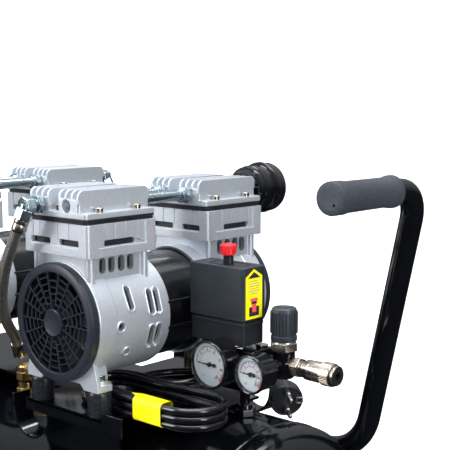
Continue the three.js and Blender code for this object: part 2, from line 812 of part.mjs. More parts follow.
function couplerSleeve() {
  const [, y] = regulatorAt;
  const bore = COUPLER_RADIUS + RUNNING_GAP;
  const length = couplerLength - 17 - 4 - GAP;
  const profile = [
    [bore, 0],
    [bore + 2.5, 0],
    [bore + 3, length - 14],
    [bore + 4, length - 13],
    [bore + 4, length - 1],
    [bore + 3, length],
    [bore, length],
  ];
  return turned("x", profile, [sleeveStart, y, AIR_LINE_RISE], 16);
}

// ---------------------------------------------------------------- hoses and valves
// Hose centre lines from the elbow's mouth to the check valve, from the middle of the pump that they serve.
const hoseRadius = 6.5;
const hoseFrontRoute = [
  [-24, -158, 205],
  [-38, -159, 182],
  [-57, -157, 152],
  [-72, -152, 124],
  [-86, -142, 98],
  [-100, -126, 76],
  [-114, -108, 58],
  [-127, -94, 42],
  [-134, -86, 28],
];
const hoseRearRoute = [
  [24, 158, 205],
  [34, 160, 184],
  [54, 160, 152],
  [80, 150, 120],
  [104, 122, 92],
  [118, 82, 68],
  [124, 40, 52],
  [125, 0, 42],
  [125, -34, 34],
  [125, -60, 27],
];

// The elbow that screws into a head's end port, at the front or, turned round, at the rear.
function hoseElbow(side) {
  const face = side * (boreY + headDepth / 2);
  const x = side * AIR_PORT_OFFSET;
  const corner = face + side * 18;
  const inner = Math.min(face - side * 8, corner);
  return join(
    rod("y", TUBE_RADIUS, 26, [x, inner, airPortHeight], 12),
    rod("y", 10, 8, [x, face + (side < 0 ? -10 : 2), airPortHeight], 6),
    new THREE.SphereGeometry(9, 8, 5).translate(x, corner, airPortHeight),
  );
}

function hose(side, route) {
  const corner = [side * AIR_PORT_OFFSET, side * (boreY + headDepth / 2 + 18), airPortHeight];
  const line = sweep([corner, ...route], hoseRadius, 15);
  return join(hoseElbow(side), line);
}

function checkValve() {
  const [x, y] = checkValveAt;
  const seat = tankSurface(Math.abs(y) - 12) + GAP;
  return join(
    rod("z", PORT_RADIUS - 1, 14, [x, y, seat - 13]),
    rod("z", 11, 34, [x, y, seat], 6),
    rod("z", 9, 8, [x, y, seat + 33]),
    rod("x", 8, 18, [x, y, 9]),
    rod("y", 8, 16, [x, y, 9]),
  );
}

// A drain cock in the tank's lowest point, with a wing to turn it by.
function drainValve() {
  const [x, y] = drainAt;
  return join(
    rod("z", PORT_RADIUS - RUNNING_GAP - 0.2, 14, [x, y, GROUND_CLEARANCE - 5], 12),
    rod("z", 9, 9, [x, y, GROUND_CLEARANCE - 13], 6),
    rod("z", 4, 12, [x, y, GROUND_CLEARANCE - 24], 10),
    box([x - 12, x + 12], [y - 1.5, y + 1.5], [GROUND_CLEARANCE - 28, GROUND_CLEARANCE - 18]),
  );
}

// ---------------------------------------------------------------- mains cord, in the right-hand pump's frame
// The lead leaves the switch's gland and joins the hank's top layer. The tail leaves the bottom layer,
// passes under the pump and comes back to the plug.
const hankCentre = [74, -70];
const hankHalfWidth = HANK_TURN + CORD_RADIUS + 0.2;
const hankHeight = HANK_LAYERS * 2 * CORD_RADIUS + 1;
const glandEnd = [switchX + 14, switchY, SWITCH_RISE - 12];
const leadRoute = [
  [80, 13.5, 54.2],
  [80.2, 12.4, 45],
  [82, 7.5, 36],
  [85, -1.5, 28.6],
  [86, -13, 24.2],
  [81.5, -25, 22],
  [74, -32.5, 21.1],
  [65, -36.5, 20.7],
  [50, -38, 20.5],
];
const tailRoute = [
  [28, -38, 4.4],
  [14, -38, 4.4],
  [-3, -33, 4.4],
  [-15, -20, 4.4],
  [-19, -2, 4.4],
  [-17, 18, 4.4],
  [-9, 37, 4.4],
  [4, 53.5, 4.4],
  [18, 67, 4.4],
  [34, 79.5, 4.4],
  [48, 90.5, 4.6],
  [59.2, 99.2, 6],
  [68.5, 104.3, 9],
  [80.1, 106.4, 12.1],
  [91.7, 104.3, 13.3],
  [99.8, 100.1, 11.7],
];
const plugFace = [155, 57, -2.5];
const plugTurn = -0.663; // about Z, from +X
const plugDip = 0.2; // the face looks down by this
const plugLength = 70;

// The hank, or with a margin the room that it keeps clear of the other pieces.
function cordHank(margin = 0) {
  const [x, y] = hankCentre;
  const half = HANK_RUN / 2;
  const radius = hankHalfWidth + margin;
  const outline = [
    ...arc(x + half, y, radius, -Math.PI / 2, Math.PI / 2, 8),
    ...arc(x - half, y, radius, Math.PI / 2, (3 * Math.PI) / 2, 8),
  ];
  return prism("z", outline, GAP - margin, hankHeight + margin);
}

const cordLead = () => cut(sweep(leadRoute, CORD_RADIUS, 14), cordHank(GAP));
const cordTail = () => cut(sweep(tailRoute, CORD_RADIUS, 20), cordHank(GAP));

// An earthed plug with two round pins, drawn with its face at the origin and looking to +X.
function powerPlug() {
  const body = turned("x", [
    [0, 0],
    [PLUG_RADIUS, 0],
    [PLUG_RADIUS, -14],
    [PLUG_RADIUS - 4, -26],
    [8, -40],
    [6, -plugLength],
    [0, -plugLength],
  ]);
  const pins = [-9.5, 9.5].map((z) => rod("x", 2.4, 20, [-1, 0, z], 8));
  return join(body, ...pins);
}

// ---------------------------------------------------------------- assembly
function pressureGroup() {
  const group = new THREE.Group();
  const gaugeFront = -32;
  const tankStem = riserAt[1] - 10 - GAP - gaugeFront - GAUGE_DEPTH;
  const tankGauge = piece("tank_gauge", gauge(TANK_GAUGE_RADIUS, tankStem), blackPaint);
  const tankNeedle = piece("tank_gauge_needle", needle(TANK_GAUGE_RADIUS), blackNeedle);
  for (const part of [tankGauge, tankNeedle]) {
    part.position.set(tankGaugeX, gaugeFront, AIR_LINE_RISE + 1);
  }
  const outletFront = -30;
  const bodyFace = regulatorAt[1] - 12;
  const outletStem = bodyFace - GAP - outletFront - GAUGE_DEPTH;
  const outletGauge = piece("outlet_gauge", gauge(OUTLET_GAUGE_RADIUS, outletStem), blackPaint);
  const outletNeedle = piece("outlet_gauge_needle", needle(OUTLET_GAUGE_RADIUS), blackNeedle);
  for (const part of [outletGauge, outletNeedle]) {
    part.position.set(regulatorAt[0], outletFront, AIR_LINE_RISE);
  }
  group.add(
    piece("pressure_switch", pressureSwitch(), blackPlastic),
    piece("switch_button", switchButton(), redPlastic),
    piece("manifold", manifold(), blackPaint),
    tankGauge,
    tankNeedle,
    outletGauge,
    outletNeedle,
    piece("regulator_body", regulatorBody(), blackPaint),
    piece("regulator_knob", regulatorKnob(), blackPlastic),
    piece("coupler_body", couplerBody(), nickel),
    piece("coupler_sleeve", couplerSleeve(), nickel),
  );
  return group;
}

function mainsCord() {
  const group = new THREE.Group();
  const plug = piece("power_plug", powerPlug(), blackPlastic);
  plug.rotation.set(0, plugDip, plugTurn, "ZYX");
  plug.position.set(...plugFace);
  group.add(
    piece("cord_lead", cordLead(), blackRubber),
    piece("cord_hank", cordHank(), blackRubber),
    piece("cord_tail", cordTail(), blackRubber),
    plug,
  );
  return group;
}

function runningGear() {
  const group = new THREE.Group();
  const wheels = [
    ["wheel_left", -wheelY],
    ["wheel_right", wheelY],
  ].map(([name, y]) => {
    const mesh = piece(name, wheel(), blackRubber);
    mesh.position.set(wheelX, y, WHEEL_RADIUS);
    return mesh;
  });
  group.add(
    ...wheels,
    piece("axle", axle(), blackPaint),
    piece("front_foot", frontFoot(), blackPaint),
    piece("foot_pad", footPad(), blackRubber),
  );
  return group;
}

const compressor = new THREE.Group();
const onPlatform = new THREE.Group();
onPlatform.position.z = platformTop;

const unitA = pumpUnit("a");
unitA.add(pressureGroup(), piece("hose_a", hose(-1, hoseFrontRoute), braidedSteel));
const cord = mainsCord();
unitA.add(cord);
unitA.position.x = UNIT_SPACING / 2;

const unitB = pumpUnit("b");
unitB.rotation.z = Math.PI;
unitB.position.x = -UNIT_SPACING / 2;
const rearHose = piece("hose_b", hose(1, hoseRearRoute), braidedSteel);
rearHose.position.x = -UNIT_SPACING / 2;

onPlatform.add(
  unitA,
  unitB,
  rearHose,
  piece("saddle", saddle(), blackPaint),
  piece("check_valve", checkValve(), brass),
);
compressor.add(
  onPlatform,
  runningGear(),
  piece("tank", tank(), blackPaint),
  piece("drain_valve", drainValve(), brass),
  piece("handle_tube", handleTube(), blackPaint),
  piece("handle_grip", handleGrip(), blackRubber),
);

// The origin is the middle of the underside of everything but the mains cord.
cord.removeFromParent();
compressor.updateMatrixWorld(true);
const extent = new THREE.Box3().setFromObject(compressor, true);
const middle = extent.getCenter(new THREE.Vector3());
compressor.position.set(-middle.x, -middle.y, -extent.min.z);
unitA.add(cord);

export default compressor;
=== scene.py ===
"""Looks of a wheeled workshop air compressor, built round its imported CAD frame.

Shapes are drawn in millimetres, most of them in pump A's frame: X and Y from the middle of the pump
and Z from the platform's top. place() shows them in the row frame, in metres.
"""

import json
import math

import bmesh
import bpy
from mathutils import Matrix, Vector

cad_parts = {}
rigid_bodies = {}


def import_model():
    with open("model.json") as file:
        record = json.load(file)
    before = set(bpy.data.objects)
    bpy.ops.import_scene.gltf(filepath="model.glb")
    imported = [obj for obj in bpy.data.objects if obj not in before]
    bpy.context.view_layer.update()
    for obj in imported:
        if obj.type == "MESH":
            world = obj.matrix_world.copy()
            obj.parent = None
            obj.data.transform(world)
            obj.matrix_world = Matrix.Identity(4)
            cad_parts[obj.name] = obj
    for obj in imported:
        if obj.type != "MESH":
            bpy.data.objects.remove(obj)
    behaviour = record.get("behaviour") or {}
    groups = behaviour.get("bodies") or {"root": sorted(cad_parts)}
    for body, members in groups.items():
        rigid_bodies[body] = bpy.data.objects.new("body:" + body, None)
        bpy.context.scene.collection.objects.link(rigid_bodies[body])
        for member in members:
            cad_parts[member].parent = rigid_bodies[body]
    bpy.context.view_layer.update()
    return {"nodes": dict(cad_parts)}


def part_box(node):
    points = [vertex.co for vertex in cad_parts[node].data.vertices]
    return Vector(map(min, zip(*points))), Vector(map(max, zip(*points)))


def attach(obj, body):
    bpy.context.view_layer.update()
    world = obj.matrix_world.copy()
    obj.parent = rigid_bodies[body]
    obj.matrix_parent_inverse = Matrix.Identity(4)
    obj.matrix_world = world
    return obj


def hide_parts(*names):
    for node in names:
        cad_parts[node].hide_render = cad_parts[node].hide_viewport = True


for leftover in list(bpy.data.objects):
    bpy.data.objects.remove(leftover)

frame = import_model()

MM = 0.001
SHAFT_HEIGHT = 95  # shaft above the platform
IDENTITY = Matrix.Identity(4)
HALF_TURN = Matrix.Rotation(math.pi, 4, "Z")


# ---------------------------------------------------------------- places, from the CAD
def middle(node):
    low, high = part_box(node)
    return (low + high) / 2


def pump_frame(unit):
    shaft = middle(f"stator_{unit}")
    return Matrix.Translation((shaft.x, shaft.y, shaft.z - SHAFT_HEIGHT * MM))


PUMP = {"a": pump_frame("a"), "b": pump_frame("b") @ HALF_TURN}
END = {"front": IDENTITY, "rear": HALF_TURN}
DRAWN_AT = PUMP["a"]


def extent(node, drawn_at=DRAWN_AT):
    """A CAD node's lowest and highest corner, in millimetres, in the frame that shapes are drawn in."""
    origin = drawn_at.translation
    low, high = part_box(node)
    return (low - origin) / MM, (high - origin) / MM


CASE_LOW, CASE_HIGH = extent("crankcase_front_a")
COVER_FACE = extent("fan_cover_front_a")[0].y + 1
JACKET_LOW, JACKET_HIGH = extent("cylinder_front_a")
HEAD_LOW, HEAD_HIGH = extent("head_front_a")
BARREL = CASE_HIGH.x
BORE_Y = (HEAD_LOW.y + HEAD_HIGH.y) / 2
PORT_X = 20
HOSE_RADIUS = 6.5
PORT_HEIGHT = HEAD_LOW.z + 17.4


# ---------------------------------------------------------------- camera
CAMERA_AT = Vector((0.93665, -0.7806, 0.73314))
CAMERA_AZIMUTH = math.radians(42)
CAMERA_DIP = math.radians(7.1)


def make_camera():
    data = bpy.data.cameras.new("camera")
    data.lens = 80
    data.sensor_width = 36
    data.clip_start = 0.05
    data.clip_end = 60
    camera = bpy.data.objects.new("camera", data)
    camera.location = CAMERA_AT
    camera.rotation_euler = (math.pi / 2 - CAMERA_DIP, 0, CAMERA_AZIMUTH)
    bpy.context.scene.collection.objects.link(camera)
    bpy.context.scene.camera = camera


make_camera()


# ---------------------------------------------------------------- materials
class Look:
    """A Principled material whose colour, roughness and bump vary over the surface."""

    def __init__(self, name, color, roughness, metallic=0.0, coat=0.0, specular=0.5):
        self.material = bpy.data.materials.new(name)
        self.material.use_nodes = True
        self.tree = self.material.node_tree
        self.shader = self.tree.nodes["Principled BSDF"]
        self.shader.inputs["Metallic"].default_value = metallic
        self.shader.inputs["Coat Weight"].default_value = coat
        self.shader.inputs["Coat Roughness"].default_value = 0.08
        self.shader.inputs["Specular IOR Level"].default_value = specular
        self.color = (*color, 1)
        self.roughness = roughness
        self.place = self.node("ShaderNodeTexCoord").outputs["Object"]
        self.bumped = None

    def node(self, kind, **settings):
        made = self.tree.nodes.new(kind)
        for key, value in settings.items():
            if key in made.inputs:
                made.inputs[key].default_value = value
            else:
                setattr(made, key, value)
        return made

    def link(self, output, socket):
        self.tree.links.new(output, socket)

    def noise(self, size_mm, detail=3.0, roughness=0.55, stretch=None):
        """Noise from 0 to 1 with features of about size_mm, drawn out along an axis by stretch."""
        noise = self.node("ShaderNodeTexNoise", Detail=detail, Roughness=roughness)
        noise.inputs["Scale"].default_value = 1 / (size_mm * MM)
        source = self.place
        if stretch:
            mapping = self.node("ShaderNodeMapping")
            mapping.inputs["Scale"].default_value = stretch
            self.link(source, mapping.inputs["Vector"])
            source = mapping.outputs["Vector"]
        self.link(source, noise.inputs["Vector"])
        return noise.outputs["Fac"]

    def ranged(self, value, low, high, start=0.3, end=0.7):
        node = self.node("ShaderNodeMapRange")
        for name, number in (("From Min", start), ("From Max", end), ("To Min", low), ("To Max", high)):
            node.inputs[name].default_value = number
        self.link(value, node.inputs["Value"])
        return node.outputs["Result"]

    def mix(self, factor, first, second):
        node = self.node("ShaderNodeMix", data_type="RGBA")
        self.link(factor, node.inputs[0])
        for value, socket in ((first, node.inputs[6]), (second, node.inputs[7])):
            if isinstance(value, tuple):
                socket.default_value = value
            else:
                self.link(value, socket)
        return node.outputs[2]

    def mottle(self, size_mm, amount, stretch=None):
        """Colour that drifts lighter and darker by amount."""
        dark = tuple(c * (1 - amount) for c in self.color[:3]) + (1,)
        light = tuple(min(1, c * (1 + amount)) for c in self.color[:3]) + (1,)
        factor = self.ranged(self.noise(size_mm, stretch=stretch), 0, 1)
        self.link(self.mix(factor, dark, light), self.shader.inputs["Base Color"])
        return self

    def uneven_gloss(self, size_mm, amount, stretch=None):
        factor = self.noise(size_mm, detail=4, stretch=stretch)
        rough = self.ranged(factor, max(0.02, self.roughness - amount), self.roughness + amount)
        self.link(rough, self.shader.inputs["Roughness"])
        return self

    def bump(self, height, depth_mm, strength=1.0):
        node = self.node("ShaderNodeBump")
        node.inputs["Strength"].default_value = strength
        node.inputs["Distance"].default_value = depth_mm * MM
        self.link(height, node.inputs["Height"])
        if self.bumped:
            self.link(self.bumped, node.inputs["Normal"])
        self.bumped = node.outputs["Normal"]
        self.link(self.bumped, self.shader.inputs["Normal"])
        return self

    def grain(self, size_mm, depth_mm, stretch=None, detail=2.0):
        return self.bump(self.noise(size_mm, detail=detail, stretch=stretch), depth_mm)


def finished(name, color, roughness, mottle, gloss, *grains, **shine):
    """A plain finish. mottle, gloss and each grain start with a size in millimetres, then an amount."""
    look = Look(name, color, roughness, **shine).mottle(*mottle).uneven_gloss(*gloss)
    for grain in grains:
        look.grain(*grain)
    return look.material


def braid():
    """Steel braid: two sets of strands that cross, drawn by the place along and round the hose."""
    look = Look("braid", (0.50, 0.47, 0.44), 0.34, metallic=0.95)
    uv = look.node("ShaderNodeUVMap").outputs["UV"]
    split = look.node("ShaderNodeSeparateXYZ")
    look.link(uv, split.inputs[0])
    strands = []
    for lean in (-1, 1):
        along = look.node("ShaderNodeMath", operation="MULTIPLY")
        along.inputs[1].default_value = lean
        look.link(split.outputs["Y"], along.inputs[0])
        total = look.node("ShaderNodeMath", operation="ADD")
        look.link(along.outputs[0], total.inputs[0])
        look.link(split.outputs["X"], total.inputs[1])
        turns = look.node("ShaderNodeMath", operation="MULTIPLY")
        turns.inputs[1].default_value = 2 * math.pi * 12
        look.link(total.outputs[0], turns.inputs[0])
        wave = look.node("ShaderNodeMath", operation="SINE")
        look.link(turns.outputs[0], wave.inputs[0])
        strands.append(wave.outputs[0])
    crossing = look.node("ShaderNodeMath", operation="MAXIMUM")
    look.link(strands[0], crossing.inputs[0])
    look.link(strands[1], crossing.inputs[1])
    height = look.ranged(crossing.outputs[0], 0, 1, -1, 1)
    # the low places between the strands get a darker colour: painted shade in the gaps of the weave
    dark = (0.10, 0.09, 0.085, 1)
    color = look.mix(look.ranged(height, 0, 1, 0.35, 0.85), dark, look.color)
    look.link(color, look.shader.inputs["Base Color"])
    return look.uneven_gloss(4, 0.1).bump(height, 0.5).material


def printed(name, color, roughness=0.4):
    return finished(name, color, roughness, (5, 0.05), (4, 0.06), (1.5, 0.01))


def dial_glass():
    look = Look("dial_glass", (0.9, 0.94, 1.0), 0.03)
    look.shader.inputs["Transmission Weight"].default_value = 1
    look.shader.inputs["IOR"].default_value = 1.1
    return look.uneven_gloss(20, 0.02).material


def floor_paint():
    look = Look("floor_paint", (0.86, 0.86, 0.87), 0.6)
    return look.mottle(900, 0.01).uneven_gloss(400, 0.03).material


# name, colour, roughness, mottle, uneven gloss, grain
CAST = finished(
    "cast_aluminium", (0.64, 0.68, 0.735), 0.40, (1.6, 0.10), (3, 0.08), (0.9, 0.10), metallic=0.7
)
MACHINED = finished(
    "machined_aluminium", (0.84, 0.84, 0.85), 0.28,
    (4, 0.04, (0.2, 0.2, 4)), (2, 0.1, (0.1, 0.1, 5)), (0.5, 0.01, (0.1, 0.1, 6)), metallic=0.95,
)
PAINT = finished(
    "black_paint", (0.002, 0.0023, 0.0036), 0.12,
    (60, 0.2), (30, 0.04), (1.6, 0.006), coat=0.3, specular=0.4,
)
SLATE = finished("slate_plastic", (0.014, 0.017, 0.027), 0.36, (25, 0.1), (8, 0.06), (0.5, 0.02))
PLASTIC = finished("black_plastic", (0.014, 0.016, 0.021), 0.4, (20, 0.15), (6, 0.08), (0.6, 0.03))
TEXTURED = finished("textured_plastic", (0.016, 0.020, 0.028), 0.46, (12, 0.18), (4, 0.1), (1.0, 0.09))
KNOB = finished("knob_plastic", (0.022, 0.028, 0.038), 0.38, (9, 0.12), (5, 0.08), (0.5, 0.02))
GLOSS = finished(
    "gloss_black", (0.003, 0.003, 0.0045), 0.1,
    (20, 0.2), (12, 0.04), (2.0, 0.004), coat=0.4, specular=0.45,
)
SHEATH = finished("cord_sheath", (0.004, 0.004, 0.006), 0.2, (15, 0.2), (10, 0.08), (2.5, 0.02), coat=0.25)
RUBBER = finished("rubber", (0.02, 0.022, 0.026), 0.62, (10, 0.2), (5, 0.1), (0.7, 0.04))
MOUNT_RUBBER = finished("mount_rubber", (0.012, 0.014, 0.018), 0.3, (8, 0.15), (6, 0.08), (0.9, 0.02))
GRIP = finished("grip_rubber", (0.030, 0.035, 0.047), 0.55, (3, 0.25), (5, 0.08), (1.2, 0.2), (5, 0.2))
STEEL = finished("steel", (0.62, 0.63, 0.65), 0.3, (12, 0.05), (14, 0.04), (2.0, 0.004), metallic=1)
ZINC = finished("zinc_plate", (0.50, 0.60, 0.65), 0.24, (12, 0.08), (14, 0.04), (3.0, 0.006), metallic=1)
NICKEL = finished(
    "nickel_plate", (0.58, 0.52, 0.46), 0.26, (12, 0.05), (14, 0.03), (2.5, 0.003), metallic=1
)
BRASS = finished("brass", (0.68, 0.48, 0.20), 0.3, (10, 0.1), (12, 0.04), (2.5, 0.005), metallic=1)
BRAID = braid()
RED = finished("red_plastic", (0.78, 0.012, 0.02), 0.32, (6, 0.08), (4, 0.08), (0.8, 0.02))
YELLOW = printed("yellow_vinyl", (0.93, 0.80, 0.0), 0.3)
DIAL_WHITE = printed("dial_white", (0.80, 0.87, 0.93), 0.45)
DIAL_RED = printed("dial_red", (0.75, 0.08, 0.09))
PRINT_BLACK = printed("print_black", (0.02, 0.02, 0.025))
PRINT_GREY = printed("print_grey", (0.32, 0.30, 0.16))
GLASS = dial_glass()


# ---------------------------------------------------------------- shapes, as mesh data in millimetres
AXES = {
    "x": Matrix.Rotation(math.pi / 2, 4, "Y"),
    "y": Matrix.Rotation(-math.pi / 2, 4, "X"),
    "z": IDENTITY,
}


def as_mesh(bm):
    bmesh.ops.recalc_face_normals(bm, faces=bm.faces)
    mesh = bpy.data.meshes.new("shape")
    bm.to_mesh(mesh)
    bm.free()
    return mesh


def skin(bm, rings, closed=False):
    """Faces between rings of vertices, one after another. Open ends get a face each."""
    if not closed:
        bm.faces.new(rings[0])
        bm.faces.new(rings[-1])
    for near, far in zip(rings, rings[1:] + rings[:1] if closed else rings[1:]):
        for i in range(len(near)):
            j = (i + 1) % len(near)
            bm.faces.new((near[i], near[j], far[j], far[i]))
    return as_mesh(bm)


def moved(mesh, *matrices):
    copy = mesh.copy()
    for matrix in matrices:
        copy.transform(matrix)
    return copy


def shift(x, y, z):
    return Matrix.Translation((x, y, z))


def spin(degrees, axis):
    return Matrix.Rotation(math.radians(degrees), 4, axis)


def box(xs, ys, zs):
    bm = bmesh.new()
    bmesh.ops.create_cube(bm, size=1)
    low, high = Vector((xs[0], ys[0], zs[0])), Vector((xs[1], ys[1], zs[1]))
    bm.transform(Matrix.Translation((low + high) / 2) @ Matrix.Diagonal((*(high - low), 1)))
    return as_mesh(bm)


def turned(axis, profile, at=(0, 0, 0), sides=64):
    """A closed profile of (radius, distance along) points, turned round the axis through at."""
    bm = bmesh.new()
    rings = []
    for radius, along in profile:
        count = sides if radius > 0 else 1
        angles = [2 * math.pi * i / sides for i in range(count)]
        rings.append([bm.verts.new((radius * math.cos(a), radius * math.sin(a), along)) for a in angles])
    for near, far in zip(rings, rings[1:] + rings[:1]):
        if len(near) == len(far) == 1:
            continue
        for i in range(sides):
            j = (i + 1) % sides
            corners = [near[i % len(near)], near[j % len(near)], far[j % len(far)], far[i % len(far)]]
            bm.faces.new(list(dict.fromkeys(corners)))
    bm.transform(Matrix.Translation(at) @ AXES[axis])
    return as_mesh(bm)


def rod(axis, radius, length, at, sides=48):
    start, end = radius if isinstance(radius, tuple) else (radius, radius)
    return turned(axis, [(0, 0), (start, 0), (end, length), (0, length)], at, sides)


def hexagon(axis, radius, length, at, turn=0):
    mesh = rod(axis, radius, length, (0, 0, 0), 6)
    return moved(mesh, Matrix.Rotation(math.radians(turn), 4, axis.upper()), shift(*at))


def prism(axis, outline, start, end):
    """An outline across the axis, as (y, z), (x, z) or (x, y), extruded from start to end."""
    to_space = {
        "x": lambda a, b, along: (along, a, b),
        "y": lambda a, b, along: (a, along, b),
        "z": lambda a, b, along: (a, b, along),
    }[axis]
    bm = bmesh.new()
    return skin(bm, [[bm.verts.new(to_space(a, b, along)) for a, b in outline] for along in (start, end)])


def arc(x, y, radius, start, end, steps):
    """Points on an arc, angles in degrees, both ends included."""
    angles = [math.radians(start + (end - start) * i / steps) for i in range(steps + 1)]
    return [(x + radius * math.cos(a), y + radius * math.sin(a)) for a in angles]


def rounded_rectangle(xs, ys, radius, steps=6):
    """A rectangle's outline with round corners: one radius, or four from the low-low corner on."""
    radii = radius if isinstance(radius, tuple) else (radius,) * 4
    corners = [
        (xs[0], ys[0], 1, 1, 180),
        (xs[1], ys[0], -1, 1, 270),
        (xs[1], ys[1], -1, -1, 0),
        (xs[0], ys[1], 1, -1, 90),
    ]
    points = []
    for (x, y, right, up, start), r in zip(corners, radii):
        if r > 0:
            points += arc(x + right * r, y + up * r, r, start, start + 90, steps)
        else:
            points.append((x, y))
    return points


def block(xs, ys, zs, radius, axis="z"):
    """A box whose edges along the axis are round."""
    spans = {"x": (ys, zs, xs), "y": (xs, zs, ys), "z": (xs, ys, zs)}[axis]
    return prism(axis, rounded_rectangle(spans[0], spans[1], radius), *spans[2])


def smooth_line(points, steps):
    """Points along a smooth curve through the given ones."""
    points = [Vector(p) for p in points]
    padded = [2 * points[0] - points[1], *points, 2 * points[-1] - points[-2]]
    line = []
    for a, b, c, d in zip(padded, padded[1:], padded[2:], padded[3:]):
        for i in range(steps):
            t = i / steps
            square = 2 * a - 5 * b + 4 * c - d
            cube = 3 * b - a - 3 * c + d
            line.append(0.5 * (2 * b + (c - a) * t + square * t**2 + cube * t**3))
    return [*line, points[-1]]


def sweep(line, radius, sides=32):
    """A round section carried along a line. radius is a number, or a function of the share gone."""
    line = [Vector(p) for p in line]
    ways = [(after - before).normalized() for before, after in zip([line[0], *line], [*line[1:], line[-1]])]
    side = ways[0].orthogonal().normalized()
    lengths = [0.0]
    for before, after in zip(line, line[1:]):
        lengths.append(lengths[-1] + (after - before).length)
    bm = bmesh.new()
    rings = []
    for point, way, length in zip(line, ways, lengths):
        side = (side - way * side.dot(way)).normalized()
        across = way.cross(side)
        r = radius(length / lengths[-1]) if callable(radius) else radius
        angles = [2 * math.pi * i / sides for i in range(sides)]
        spokes = [side * math.cos(a) + across * math.sin(a) for a in angles]
        rings.append([bm.verts.new(point + r * spoke) for spoke in spokes])
    layer = bm.loops.layers.uv.new("UVMap")
    girth = 2 * math.pi * HOSE_RADIUS
    for k, (near, far) in enumerate(zip(rings, rings[1:])):
        for i in range(sides):
            j = (i + 1) % sides
            face = bm.faces.new((near[i], near[j], far[j], far[i]))
            places = ((i, k), (i + 1, k), (i + 1, k + 1), (i, k + 1))
            for loop, (u, v) in zip(face.loops, places):
                loop[layer].uv = (u / sides, lengths[v] / girth)
    bm.faces.new(rings[0])
    bm.faces.new(rings[-1])
    return as_mesh(bm)


def merged(*meshes):
    """Several meshes as one, each left as it is."""
    bm = bmesh.new()
    for mesh in meshes:
        bm.from_mesh(mesh)
    whole = bpy.data.meshes.new("shape")
    bm.to_mesh(whole)
    bm.free()
    return whole


def evaluated(mesh, set_modifiers):
    """The mesh with modifiers applied. set_modifiers adds them to the object that it is given."""
    scene = bpy.context.scene
    holder = bpy.data.objects.new("holder", mesh)
    scene.collection.objects.link(holder)
    helpers = set_modifiers(holder) or []
    graph = bpy.context.evaluated_depsgraph_get()
    result = bpy.data.meshes.new_from_object(holder.evaluated_get(graph))
    for extra in [holder, *helpers]:
        bpy.data.objects.remove(extra)
    return result


def boolean(operation, mesh, tools):
    def set_modifiers(holder):
        helpers = []
        for tool in tools:
            helper = bpy.data.objects.new("tool", tool)
            bpy.context.scene.collection.objects.link(helper)
            helpers.append(helper)
            modifier = holder.modifiers.new("boolean", "BOOLEAN")
            modifier.operation = operation
            modifier.solver = "MANIFOLD"
            modifier.object = helper
        return helpers

    return evaluated(mesh, set_modifiers)


def join(first, *others):
    return boolean("UNION", first, others)


def cut(mesh, *tools):
    return boolean("DIFFERENCE", mesh, tools)


def soft(mesh, width=0.8, segments=2, angle=32):
    """The mesh with its sharp edges rounded to width, in millimetres."""

    def set_modifiers(holder):
        modifier = holder.modifiers.new("bevel", "BEVEL")
        modifier.width = width
        modifier.segments = segments
        modifier.limit_method = "ANGLE"
        modifier.angle_limit = math.radians(angle)
        modifier.use_clamp_overlap = False
        weighted = holder.modifiers.new("normals", "WEIGHTED_NORMAL")
        weighted.keep_sharp = True

    mesh.polygons.foreach_set("use_smooth", [True] * len(mesh.polygons))
    return evaluated(mesh, set_modifiers)


def crisp(mesh, angle=30):
    """The mesh with smooth curves and flat faces, its sharp edges left as they are."""

    def set_modifiers(holder):
        holder.modifiers.new("normals", "WEIGHTED_NORMAL").keep_sharp = True

    return evaluated(shaded(mesh, angle), set_modifiers)


def shaded(mesh, angle=32):
    mesh.polygons.foreach_set("use_smooth", [True] * len(mesh.polygons))
    mesh.set_sharp_from_angle(angle=math.radians(angle))
    return mesh


def place(mesh, name, material, body="chassis", at=DRAWN_AT, stands_for=()):
    """Shows a mesh drawn in millimetres as a piece that rides on a CAD body."""
    if "in_metres" not in mesh:
        mesh.transform(Matrix.Scale(MM, 4))
        mesh["in_metres"] = True
        mesh.materials.clear()
        mesh.materials.append(material)
    piece = bpy.data.objects.new(name, mesh)
    piece.matrix_world = at
    bpy.context.scene.collection.objects.link(piece)
    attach(piece, body)
    if stands_for:
        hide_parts(*stands_for)
    return piece


def on_every_end(mesh, label, material, node=None):
    """Shows a mesh drawn at pump A's front on both ends of both pumps."""
    for unit, pump in PUMP.items():
        for end, turn in END.items():
            nodes = [f"{node}_{end}_{unit}"] if node else []
            place(mesh, f"{label}_{end}_{unit}", material, at=pump @ turn, stands_for=nodes)


# ---------------------------------------------------------------- mains cord
CORD_DIAMETER = 8
HANK_CENTRE = (74, -70)
HANK_HALF_RUN = 60
HANK_OUTER = 32
HANK_LAYERS = (20.5, 12.5, 4.4)
LEAD = [
    (80, 13.5, 54.2), (80.2, 12.4, 45), (82, 7.5, 36), (85, -1.5, 28.6), (86, -13, 24.2),
    (81.5, -25, 22), (74, -32.5, 21.1), (65, -36.5, 20.7), (50, -38, 20.5),
]
TAIL = [
    (28, -38, 4.4), (14, -38, 4.4), (-3, -33, 4.4), (-15, -20, 4.4), (-19, -2, 4.4), (-17, 18, 4.4),
    (-9, 37, 4.4), (4, 53.5, 4.4), (18, 67, 4.4), (34, 79.5, 4.4), (48, 90.5, 4.6), (59.2, 99.2, 6),
    (68.5, 104.3, 9), (80.1, 106.4, 12.1), (91.7, 104.3, 13.3), (99.8, 100.1, 11.7),
]


def eased(share):
    share = min(1, max(0, share))
    return share * share * (3 - 2 * share)


